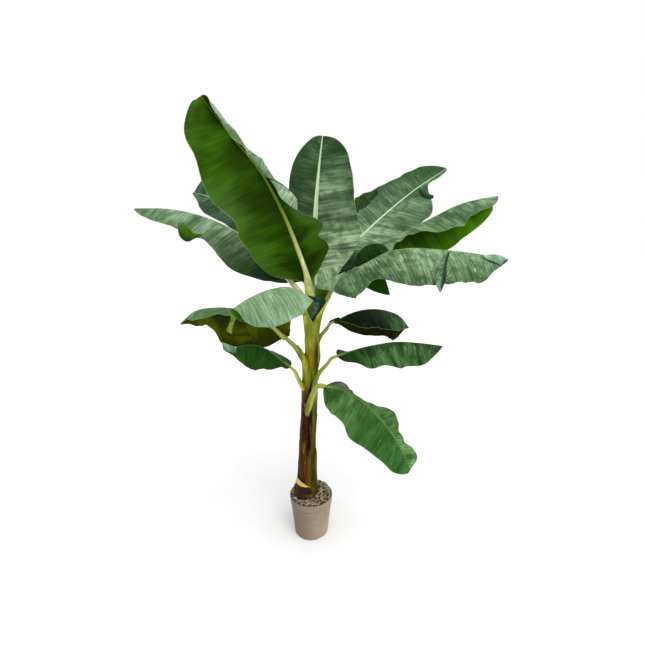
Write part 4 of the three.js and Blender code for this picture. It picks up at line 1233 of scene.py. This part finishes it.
def blade_faces(tall_count, wide_count):
    """Faces of a blade's shell and the number of each one's material."""
    offset = wide_count * tall_count
    middle = wide_count // 2
    faces, kinds = [], []
    upper, under_side, rib_upper, rib_under, margin = range(5)
    for r in range(tall_count - 1):
        for c in range(wide_count - 1):
            a = r * wide_count + c
            b = a + wide_count
            on_rib = min(abs(c - middle), abs(c + 1 - middle)) < BLADE_GRID["rib_columns"]
            on_edge = c in (0, wide_count - 2)
            faces.append((a, a + 1, b + 1, b))
            kinds.append(rib_upper if on_rib else margin if on_edge else upper)
            faces.append((a + offset, b + offset, b + 1 + offset, a + 1 + offset))
            kinds.append(rib_under if on_rib else margin if on_edge else under_side)
        a = r * wide_count
        b = a + wide_count
        faces.append((a, b, b + offset, a + offset))
        a += wide_count - 1
        b += wide_count - 1
        faces.append((a + offset, b + offset, b, a))
        kinds += [margin] * 2
    end = (tall_count - 1) * wide_count
    for c in range(wide_count - 1):
        faces.append((c, c + offset, c + 1 + offset, c + 1))
        faces.append((end + c, end + c + 1, end + c + 1 + offset, end + c + offset))
        kinds += [margin] * 2
    return faces, kinds


def blade(name, leaf, seed):
    """Leaf blade grown along its midrib, with waves of the edge, pleats and a ridge under the midrib."""
    path = Path(leaf["rib"])
    length = path.length
    waves = {key: wander(seed * 10 + side, 3, WAVES[name][1]) for side, key in ((-1, "left"), (1, "right"))}
    pleats = wander(seed * 10 + 5, 3, PLEAT["length"])
    top, bottom, uv = [], [], []
    rows = blade_rows(leaf, length)
    for t in rows:
        position, direction = path.at(t)
        halves = [blade_half(leaf, key, t, position, direction, waves[key](t * length), pleats(t * length))
                  for key in ("left", "right")]
        over, under, share = (np.concatenate([left[::-1], right[1:]]) for left, right in zip(*halves))
        top.append(over)
        bottom.append(under)
        side = np.sign(np.arange(len(share)) - len(share) // 2)
        uv.append(np.stack([np.full(len(share), t), 0.5 + 0.5 * side * share], axis=1))
    faces, kinds = blade_faces(len(rows), len(top[0]))
    look = BLADE_LOOKS[name]
    materials = [
        blade_upper(name, length * MM, look, seed), blade_under(name, length * MM, look, seed),
        SHARED["rib_green" if name in GREEN_RIBS else "rib_upper"], SHARED["rib_under"], SHARED["margin"],
    ]
    points, places = np.vstack(top + bottom), np.vstack(uv + uv)
    piece = add_piece(name + "_leaf", points, faces, materials, kinds, places, 60)
    carry(piece, "leaf_blade", name + "_blade")


STEM_PATH = Path(STEM_AXIS + [STEM_TOP])
STEM_HEIGHTS = [STEM_PATH.at(i / 200)[0] for i in range(201)]


def stem_centre(z):
    heights = [p[2] for p in STEM_HEIGHTS]
    return np.array([np.interp(z, heights, [p[0] for p in STEM_HEIGHTS]),
                     np.interp(z, heights, [p[1] for p in STEM_HEIGHTS])])


def stalk(name, leaf):
    """Leaf stalk with a channel along its upper side, whose lower end sinks into the stem's sheaths."""
    blade_path = Path(leaf["rib"])
    start, direction = blade_path.at(0)
    shape = {**STALK_SHAPE, **STALK_SHAPES.get(name, {})}
    root = np.array(leaf["stalk"][0], float)
    root_radius, blade_radius = leaf["thick"]
    blade_radius += shape["late"]
    sunk_z = root[2] - shape["sunk"]
    middle = stem_centre(sunk_z)
    outwards = unit(root[:2] - stem_centre(root[2]))
    reach = along(STEM_RADII, sunk_z) - shape["sunk_share"] * root_radius - SHEATH_STEP
    sunk = np.array([*(middle + outwards * max(reach, 2)), sunk_z])
    before, inside = start - direction * STALK["lead"], start + direction * STALK["into_blade"]
    path = Path([sunk, *leaf["stalk"], before, inside])
    outward = np.array(leaf["rib"][-1], float) - root
    outward[2] = 0
    outward = unit(outward)
    faces_way = np.array([0, 0, 1.0]) - outward
    rings, points, uv = [], [], []
    sides = STALK_GRID["sides"]
    root_share = path.k[1]
    for row in range(STALK_GRID["rows"] + 1):
        t = row / STALK_GRID["rows"]
        position, way = path.at(t)
        across, up = section_frame(way, faces_way)
        grown = max(0, (t - root_share) / (1 - root_share))
        radius = root_radius + (blade_radius - root_radius) * grown ** shape["taper"]
        radius += shape["extra"] * (1 - float(smoothstep(0, STALK_FLARE, grown)))
        risen = float(smoothstep(0, root_share, t))
        radius *= shape["sunk_share"] + (1 - shape["sunk_share"]) * risen
        spread = shape["spread"] * (1 - float(smoothstep(0.7, 1, grown))) * risen
        ring = []
        for i in range(sides):
            angle = -2 * math.pi * i / sides + math.pi / 2
            rise = math.sin(angle)
            groove = STALK_CHANNEL * max(0.0, rise) ** 6 * smoothstep(0.05, 0.3, grown)
            ring.append(len(points))
            points.append(position + across * (radius + spread) * math.cos(angle)
                          + up * radius * STALK["flatness"] * (rise - groove))
            length_share = t / root_share / 2 if t < root_share else 0.5 + 0.5 * grown
            uv.append((length_share, 0.5 + 0.5 * math.cos(angle)))
        rings.append(ring)
    edge_sides = (1, sides - 2)
    edge_from = 0.4 * STALK_GRID["rows"]
    kinds = []
    for row in range(STALK_GRID["rows"]):
        kinds += [int(i in edge_sides and row > edge_from) for i in range(sides)]
    skins = [SHARED["pale_stalk" if name in PALE_STALKS else "stalk"], SHARED["stalk_edge"]]
    piece = add_piece(name + "_petiole", points, tube_faces(rings), skins, kinds + [0, 0], uv)
    carry(piece, "leaf_stalk", name + "_stalk")


def stem_sheaths():
    """Height and direction of each leaf's sheath where its stalk leaves the stem."""
    sheaths = []
    for leaf in LEAVES.values():
        x, y, z = leaf["stalk"][0]
        tip = leaf["rib"][-1]
        sheaths.append((z + STEM_RELIEF["over_root"], math.atan2(tip[1] - y, tip[0] - x)))
    return sheaths


def stem():
    """The stem: rolled sheaths whose edges run down from each stalk, over ribs and fine furrows."""
    facets, rows = STEM_GRID["facets"], STEM_GRID["rows"]
    foot, top = STEM_AXIS[0][2], STEM_RADII[-1][0]
    sheaths = stem_sheaths()
    angles = 2 * math.pi * np.arange(facets) / facets
    furrows = wander(SEEDS["furrows"], 6, 0.35)
    dents = wander(SEEDS["dents"], 4, 260)
    points, rings = [], []
    for row in range(rows + 1):
        z = foot + (top - foot) * row / rows
        centre = stem_centre(z)
        twist = angles / (2 * math.pi) + z / 1000 * SHEATH_TWIST_PER_METRE
        place = (twist * SHEATH_COUNT) % 1
        soft_step = np.where(place < SOFT_STEP, place / SOFT_STEP, (1 - place) / (1 - SOFT_STEP))
        radius = along(STEM_RADII, z) + SHEATH_STEP * (soft_step - 0.5) * smoothstep(*STEM_FADE, z)
        for height, way in sheaths:
            below = height - z
            if 0 < below < SHEATH_SPREAD:
                span = math.pi * (below / SHEATH_SPREAD) ** STEM_RELIEF["opening"]
                off = np.abs((angles - way + math.pi) % (2 * math.pi) - math.pi)
                inside = smoothstep(span + STEM_RELIEF["edge_soft"], span - STEM_RELIEF["edge_soft"], off)
                radius = radius + STEM_RELIEF["edge"] * (inside - span / math.pi)
        radius = radius + STEM_RELIEF["furrows"] * furrows(angles * 4 + z * 0.002)
        radius = radius + STEM_RELIEF["dents"] * dents(z + 90 * np.cos(angles))
        rings.append(list(range(len(points), len(points) + facets)))
        points += [around(centre, r, angle, z) for angle, r in zip(angles, radius)]
    carry(add_piece("stem_sheaths", points, tube_faces(rings), [stem_skin()]), "stem_sheath", "stem")


def sheath(name, leaf):
    """Strap of sheath that hugs the stem below a stalk and opens downwards round it."""
    root, exit_point = np.array(leaf["stalk"][0], float), np.array(leaf["stalk"][1], float)
    centre = stem_centre(exit_point[2])
    way = math.atan2(exit_point[1] - centre[1], exit_point[0] - centre[0])
    below, arcs = SHEATHS[name]
    bottom, top = root[2] - below, root[2] + SHEATH["above"]
    rows, columns, edge_thick = SHEATH["rows"], SHEATH["columns"], SHEATH["edge_thick"]
    places = np.linspace(-1, 1, columns + 1)
    points, uv, rings = [], [], []
    for row in range(rows + 1):
        t = row / rows
        z = bottom + (top - bottom) * t
        centre = stem_centre(z)
        arc = math.radians(between(arcs, t))
        stem_radius = along(STEM_RADII, z)
        thick = edge_thick + (SHEATH["thick"] - edge_thick) * t * (1 - np.abs(places) ** 2.5)
        outer = stem_radius + thick * smoothstep(0, 0.35, t) - SHEATH["sunk"] * (1 - smoothstep(0, 0.25, t))
        inner = [(share, stem_radius - SHEATH["inside"]) for share in places[::-1]]
        ring = []
        for share, radius in (*zip(places, outer), *inner):
            ring.append(len(points))
            points.append(around(centre, radius, way + arc * share, z))
            uv.append((t, 0.5 + 0.5 * share))
        rings.append(ring)
    piece = add_piece(name + "_sheath", points, tube_faces(rings), [SHARED["sheath"]], None, uv)
    carry(piece, "leaf_stalk")


def strip(name, sizes, materials, slot, shares=(0, 1)):
    """Thin curved solid between two edges; its upper side faces the way in which "from" to "to" turns."""
    low, high = Path(sizes["from"]), Path(sizes["to"])
    rows, columns = FOLD_GRID["rows"], FOLD_GRID["columns"]
    grid, uv = [], []
    for row in range(rows + 1):
        t = row / rows
        start, end = low.at(t)[0], high.at(t)[0]
        away = unit(np.cross(end - start, high.p[-1] - high.p[0] + low.p[-1] - low.p[0]))
        for column in range(columns + 1):
            c = column / columns
            grid.append(start + (end - start) * c + away * sizes["bulge"] * math.sin(math.pi * c))
            uv.append((shares[0] + (shares[1] - shares[0]) * t, 0.5 + 0.5 * c))
    grid = np.array(grid)
    shaped = grid.reshape(rows + 1, columns + 1, 3)
    normals = np.cross(np.gradient(shaped, axis=1), np.gradient(shaped, axis=0)).reshape(-1, 3)
    normals /= np.linalg.norm(normals, axis=1)[:, None]
    points = np.vstack([grid + normals * BLADE_THICKNESS / 2, grid - normals * BLADE_THICKNESS / 2])
    offset = len(grid)
    faces, kinds = [], []
    for row in range(rows):
        for column in range(columns):
            a = row * (columns + 1) + column
            b = a + columns + 1
            faces += [(a, a + 1, b + 1, b), (a + offset, b + offset, b + 1 + offset, a + 1 + offset)]
            kinds += [0, 1]
    border = [row * (columns + 1) for row in range(rows)]
    border += [rows * (columns + 1) + column for column in range(columns)]
    border += [row * (columns + 1) + columns for row in range(rows, 0, -1)]
    border += list(range(columns, 0, -1))
    for a, b in zip(border, border[1:] + border[:1]):
        faces.append((a, b, b + offset, a + offset))
        kinds.append(0)
    carry(add_piece(name, points, faces, materials, kinds, uv * 2, 60), slot)


def fold(name, sizes, seed):
    """Scrap or fold of a blade with its own upper and under sides."""
    length = float(Path(sizes["from"]).length) * MM
    look = {**sizes, "left": sizes["amounts"], "right": sizes["amounts"]}
    skins = [blade_upper(name, length, look, seed), blade_under(name, length, look, seed)]
    strip(name, sizes, skins, "leaf_blade")


def sheath_remain(name, sizes, material, slot, nodes, seed, outward=0.0):
    """Curved plate against the foot of the stem with a ragged, thinned top."""
    columns, rows = REMAIN_GRID["columns"], REMAIN_GRID["rows"]
    bottom = STEM_AXIS[0][2]
    ragged = wander(seed, 5, 0.16)
    bulge = wander(seed + 1, 3, 0.5)
    inner_face, outer_face, points, uv = [], [], [], []
    for column in range(columns + 1):
        c = column / columns
        angle = math.radians(sizes["arc"][0] + (sizes["arc"][1] - sizes["arc"][0]) * c)
        peak = sizes["peak"]
        from_peak = (peak - c) / peak if c < peak else (c - peak) / (1 - peak)
        height = sizes["low"] + (sizes["high"] - sizes["low"]) * (1 - from_peak**1.5)
        height += sizes["ragged"] * ragged(c)
        inner, outer = [], []
        for row in range(rows + 1):
            share = row / rows
            z = bottom + height * share
            centre = stem_centre(z)
            against = along(STEM_RADII, z) + SHEATH_STEP / 2 - 1 + outward * share**2
            thinned = 1 - 0.55 * max(abs(2 * c - 1) ** 2, share)
            thick = sizes["thick"] * thinned * (1 + 0.25 * bulge(c + share))
            for store, radius in ((inner, against), (outer, against + thick)):
                store.append(len(points))
                points.append(around(centre, radius, angle, z))
                uv.append((c, share))
        inner_face.append(inner)
        outer_face.append(outer)
    faces = []
    for c in range(columns):
        i, j, o, p = inner_face[c], inner_face[c + 1], outer_face[c], outer_face[c + 1]
        for r in range(rows):
            faces.append((o[r], p[r], p[r + 1], o[r + 1]))
            faces.append((i[r], i[r + 1], j[r + 1], j[r]))
        faces.append((i[0], j[0], p[0], o[0]))
        faces.append((i[rows], o[rows], p[rows], j[rows]))
    for r in range(rows):
        i, o = inner_face[0], outer_face[0]
        faces.append((i[r], o[r], o[r + 1], i[r + 1]))
        i, o = inner_face[-1], outer_face[-1]
        faces.append((i[r], i[r + 1], o[r + 1], o[r]))
    carry(add_piece(name, points, faces, [material], None, uv), slot, *nodes)


def turned(profile, facets):
    """Points and faces of a body of revolution about Z."""
    points, rings, faces = [], [], []
    for radius, z in profile[1:-1]:
        ring = []
        for i in range(facets):
            ring.append(len(points))
            points.append(around((0, 0), radius, 2 * math.pi * i / facets, z))
        rings.append(ring)
    for a, b in zip(rings, rings[1:]):
        faces += band_faces(a, b)
    for ring, z, under in ((rings[0], profile[0][1], True), (rings[-1], profile[-1][1], False)):
        centre = len(points)
        points.append([0, 0, z])
        for i, v in enumerate(ring):
            w = ring[(i + 1) % facets]
            faces.append((centre, w, v) if under else (centre, v, w))
    return points, faces


def pot():
    """Nursery pot with a rolled lip, a stepped collar, a rounded foot and drain slots pressed into it."""
    height, foot, rounding, floor = POT["height"], POT["foot_radius"], POT["foot_rounding"], POT["floor"]
    collar, rim, inner_rim = POT["collar_radius"], POT["rim_radius"], POT["inner_rim_radius"]
    lip_bottom = height - POT["lip_height"]
    collar_bottom = height - POT["collar_height"]
    profile = [(0, 3), (foot - 22, 3), (foot - 19, 0), (foot - rounding, 0)]
    foot_steps, wall_steps = 6, 40
    for i in range(1, foot_steps + 1):
        turn = math.radians(90 * i / foot_steps)
        profile.append((foot - rounding * (1 - math.sin(turn)), rounding * (1 - math.cos(turn))))
    for i in range(1, wall_steps + 1):
        share = i / wall_steps
        profile.append((foot + (POT["body_radius_at_collar"] - foot) * share,
                        rounding + (collar_bottom - rounding) * share))
    profile += [
        (collar - 0.6, collar_bottom + 1.2), (collar, collar_bottom + 3), (collar + 0.4, collar_bottom + 20),
        (collar + 0.8, lip_bottom - 1.5), (collar + 1.0, lip_bottom), (rim - 1, lip_bottom + 0.4),
        (rim, lip_bottom + 1.5), (rim + 0.2, lip_bottom + 5), (rim, height - 2.5), (rim - 0.8, height - 0.7),
        (rim - 2.5, height), (inner_rim + 1.5, height), (inner_rim, height - 1.5),
        (POT["inner_foot_radius"], floor), (0, floor),
    ]
    points, faces = turned(profile, POT_FACETS)
    points = np.array(points, float)
    radius = np.hypot(points[:, 0], points[:, 1])
    angle = np.degrees(np.arctan2(points[:, 1], points[:, 0]))
    outer = (radius > POT["foot_radius"] - 9) & (points[:, 2] < POT["height"] * 0.5)
    for i in range(DRAIN_SLOTS["count"]):
        off = (angle - DRAIN_SLOTS["first_deg"] - 360 / DRAIN_SLOTS["count"] * i + 180) % 360 - 180
        half = math.degrees(DRAIN_SLOTS["wide"] / 2 / POT["foot_radius"])
        press = smoothstep(half + 2, half - 1, np.abs(off))
        press = press * smoothstep(DRAIN_SLOTS["high"] + 5, DRAIN_SLOTS["high"], points[:, 2]) * outer
        shrink = 1 - DRAIN_SLOTS["deep"] * press / np.maximum(radius, 1)
        points[:, 0] *= shrink
        points[:, 1] *= shrink
    carry(add_piece("pot_shell", points, faces, [pot_plastic()], sharp_deg=35), "pot_plastic", "pot")


def soil_height(x, y):
    radius = math.hypot(x, y)
    from_stem = math.hypot(x - STEM_AXIS[0][0], y)
    outside = min(max((from_stem - SOIL["plateau_radius"]) / SOIL["shoulder"], 0), 1)
    wall = min(max((radius - SOIL["wall_slope_from"]) / SOIL["wall_slope"], 0), 1)
    angle = math.atan2(y, x) - math.radians(SOIL["back_hump_deg"])
    hump = SOIL["back_hump"] * max(0, math.cos(angle)) ** 2 * outside * (1 - wall)
    fall = (SOIL["plateau"] - SOIL["wall_top"]) * max(wall, outside * SOIL["shoulder_fall"])
    return SOIL["plateau"] - fall + hump


def turning(angle, first, second):
    """Matrix that turns the first axis towards the second."""
    matrix = np.eye(3)
    matrix[first, first] = math.cos(angle)
    matrix[second, second] = math.cos(angle)
    matrix[first, second] = -math.sin(angle)
    matrix[second, first] = math.sin(angle)
    return matrix


def compost():
    """Compost with a lumpy top."""
    rings, facets = SOIL_GRID["rings"], SOIL_GRID["facets"]
    wall_radius = POT["inner_rim_radius"] - 1.5
    bottom_radius = POT["inner_foot_radius"] - 1
    angles = [2 * math.pi * i / facets for i in range(facets)]
    lump_x, lump_y = wander(SEEDS["lumps"][0], 5, 24), wander(SEEDS["lumps"][1], 5, 21)
    points, top_rings = [], []
    for ring in range(rings + 1):
        radius = wall_radius * (rings - ring) / rings
        top_rings.append(list(range(len(points), len(points) + facets)))
        for angle in angles:
            x, y = radius * math.cos(angle), radius * math.sin(angle)
            lump = SOIL_GRID["lumps"] * (lump_x(x + 0.4 * y) + lump_y(y - 0.5 * x)) * 0.5
            z = SOIL["wall_top"] - 2 if ring == 0 else soil_height(x, y) - 2 + lump * min(1, ring / 3)
            points.append((x, y, z))
    lower = list(range(len(points), len(points) + facets))
    points += [around((0, 0), bottom_radius, angle, POT["floor"] + 0.5) for angle in angles]
    faces = []
    for a, b in zip([lower] + top_rings, top_rings):
        faces += band_faces(a, b)
    faces.append(tuple(reversed(lower)))
    skin = earthy("compost", (52, 42, 34), (104, 88, 72), 90)
    carry(add_piece("compost", points, faces, [skin]), "compost", "soil")


def bark_chips(rng):
    """Chips of bark and grit strewn over the compost, clear of the stem and inside the rim."""
    kinds = [
        earthy("bark_brown", (84, 68, 52), (132, 112, 88), 60),
        earthy("bark_dark", (44, 34, 28), (78, 62, 50), 60),
        earthy("bark_grey", (136, 126, 110), (188, 178, 160), 70),
        earthy("grit_pale", (176, 168, 150), (214, 206, 190), 80, 0.85),
    ]
    points, faces, indices = [], [], []
    for _ in range(CHIPS["count"]):
        radius = CHIPS["reach"] * math.sqrt(rng.random())
        angle = rng.uniform(0, 2 * math.pi)
        x, y = radius * math.cos(angle), radius * math.sin(angle)
        kind = rng.choices(range(len(kinds)), CHIPS["shares"])[0]
        size = np.array([rng.uniform(*CHIPS[way]) for way in ("long", "wide", "thick")])
        if kind == len(kinds) - 1:
            size *= CHIPS["grit_size"]
        turn = rng.uniform(0, 2 * math.pi)
        tip, roll = rng.gauss(0, 0.3), rng.gauss(0, 0.35)
        if math.hypot(x - STEM_AXIS[0][0], y) < CHIPS["off_stem"]:
            continue
        matrix = turning(turn, 0, 1) @ turning(tip, 2, 0) @ turning(roll, 1, 2)
        z = soil_height(x, y) + rng.uniform(-1, 3)
        reach = math.hypot(x, y) + 0.5 * size[0]
        if reach > POT["inner_rim_radius"] - 1:
            pull = (POT["inner_rim_radius"] - 1 - 0.5 * size[0]) / math.hypot(x, y)
            x, y = x * pull, y * pull
            z = soil_height(x, y) + rng.uniform(-1, 3)
        lower, upper = [], []
        for layer, ring in ((-0.5, lower), (0.5, upper)):
            for i in range(CHIPS["corners"]):
                corner = 2 * math.pi * i / CHIPS["corners"] + rng.uniform(-0.3, 0.3)
                far = rng.uniform(0.36, 0.5)
                local = np.array([size[0] * far * math.cos(corner), size[1] * far * math.sin(corner),
                                  size[2] * layer * rng.uniform(0.7, 1)])
                ring.append(len(points))
                points.append(matrix @ local + (x, y, z))
        chip_faces = tube_faces([lower, upper])
        faces += chip_faces
        indices += [kind] * len(chip_faces)
    carry(add_piece("bark_chips", points, faces, kinds, indices, sharp_deg=30), "compost")


def seedlings(rng):
    """A few seedlings at the back right."""
    green = earthy("seedling_green", (84, 128, 44), (128, 172, 72), 200, 0.7)
    points, faces = [], []
    for _ in range(SPROUTS["count"]):
        angle = math.radians(rng.uniform(SPROUTS["from_deg"], SPROUTS["to_deg"]))
        radius = rng.uniform(*SPROUTS["radius"])
        x, y = radius * math.cos(angle), radius * math.sin(angle)
        base = np.array([x, y, soil_height(x, y) - 2])
        for _ in range(rng.randint(2, 4)):
            way = rng.uniform(0, 2 * math.pi)
            outward = np.array([math.cos(way), math.sin(way), 0])
            lean = outward * rng.uniform(4, 12)
            tall = np.array([0, 0, rng.uniform(*SPROUTS["tall"])])
            side = np.array([-math.sin(way), math.cos(way), 0]) * SPROUTS["wide"] / 2
            first = len(points)
            for share, wide in ((0, 0.25), (0.4, 0.8), (0.75, 1.0), (1, 0.15)):
                middle = base + tall * share + lean * share * share
                for edge in (-1, 1):
                    for layer in (-0.4, 0.4):
                        points.append(middle + side * wide * edge + outward * layer)
            for step in range(3):
                a = first + 4 * step
                b = a + 4
                faces += [(a, a + 2, b + 2, b), (a + 1, b + 1, b + 3, a + 3),
                          (a, b, b + 1, a + 1), (a + 2, a + 3, b + 3, b + 2)]
            faces += [(first, first + 1, first + 3, first + 2),
                      (first + 12, first + 14, first + 15, first + 13)]
    carry(add_piece("seedlings", points, faces, [green]), "leaf_blade")


def studio():
    """Pale floor, white surround, a soft high lamp and the camera at the photograph's angle."""
    bpy.ops.mesh.primitive_plane_add(size=STUDIO["floor_side"])
    floor = bpy.context.object
    floor.name = "floor"
    floor.data.materials.append(floor_paint())

    world = bpy.data.worlds.new("surround")
    bpy.context.scene.world = world
    world.use_nodes = True
    background = world.node_tree.nodes["Background"]
    background.inputs["Color"].default_value = (1, 1, 1, 1)
    background.inputs["Strength"].default_value = 1.0

    lamp = bpy.data.lights.new("soft_sun", "SUN")
    lamp.energy = STUDIO["lamp"]
    lamp.angle = math.radians(STUDIO["lamp_spread_deg"])
    sun = bpy.data.objects.new("soft_sun", lamp)
    sun.rotation_euler = [math.radians(turn) for turn in STUDIO["lamp_turn_deg"]]
    bpy.context.scene.collection.objects.link(sun)

    scene = bpy.context.scene
    scene.view_settings.view_transform = "Standard"
    scene.view_settings.look = "None"

    data = bpy.data.cameras.new("camera")
    data.lens = CAMERA["lens"]
    data.sensor_width = CAMERA["sensor"]
    data.shift_y = CAMERA["picture_down"] / PICTURE_SIDE
    data.clip_end = CAMERA["sees_to"]
    camera = bpy.data.objects.new("camera", data)
    camera.location = CAMERA["place"]
    camera.rotation_euler = (math.radians(90 - CAMERA["down_deg"]), 0, 0)
    scene.collection.objects.link(camera)
    scene.camera = camera


studio()
SHARED = {
    "rib_upper": rib_skin("rib_upper", (192, 204, 172), (170, 190, 150), 0.4),
    "rib_green": rib_skin("rib_green", (122, 142, 60), (70, 104, 40), 0.15),
    "rib_under": rib_skin("rib_under", (214, 218, 146), (104, 124, 14), 0.5),
    "margin": fibrous("leaf_margin", (70, 100, 32), (104, 130, 62), 0.6, (80, 80, 80)),
    "stalk": stalk_skin("stalk_skin", *STALK_TONES, (186, 196, 112)),
    # Paler stalk colours: partly their own whitish tone, partly a painted highlight
    "pale_stalk": stalk_skin("pale_stalk_skin", (160, 170, 70), (222, 226, 170), (206, 212, 150)),
    "stalk_edge": fibrous("stalk_edge", (44, 44, 10), (96, 96, 26), 0.55, (60, 60, 60)),
    "sheath": sheath_skin(),
}
pot()
compost()
strewn = random.Random(SEEDS["strewn"])
bark_chips(strewn)
seedlings(strewn)
stem()
REMAIN_LOOKS = {
    "cut_sheath_stub": (cut_sheath(), "old_sheath"),
    "dry_sheath_edge": (dry_sheath(), "dry_sheath"),
}
old = old_sheath("old_sheath", (52, 38, 26), (98, 76, 48), (34, 24, 18), 0.85)
for number, (name, sizes) in enumerate(SHEATH_REMAINS.items()):
    sheath_remain(name + "_skin", sizes, *REMAIN_LOOKS[name], [name], SEEDS["remains"] + 2 * number,
                  REMAIN_OUTWARD)
for number, (name, sizes) in enumerate(OLD_STUBS.items()):
    sheath_remain(name, sizes, old, "old_sheath", [], SEEDS["stubs"] + 2 * number, STUB_OUTWARD)
for number, (name, leaf) in enumerate(LEAVES.items(), 1):
    stalk(name, leaf)
    sheath(name, leaf)
    blade(name, leaf, number)
for number, (name, sizes) in enumerate(FOLDS.items(), 1 + len(LEAVES)):
    fold(name, sizes, number)
for name, sizes in CHANNELS.items():
    strip(name, sizes, [SHARED[sizes["skin"]]] * 2, "leaf_stalk", sizes["shares"])
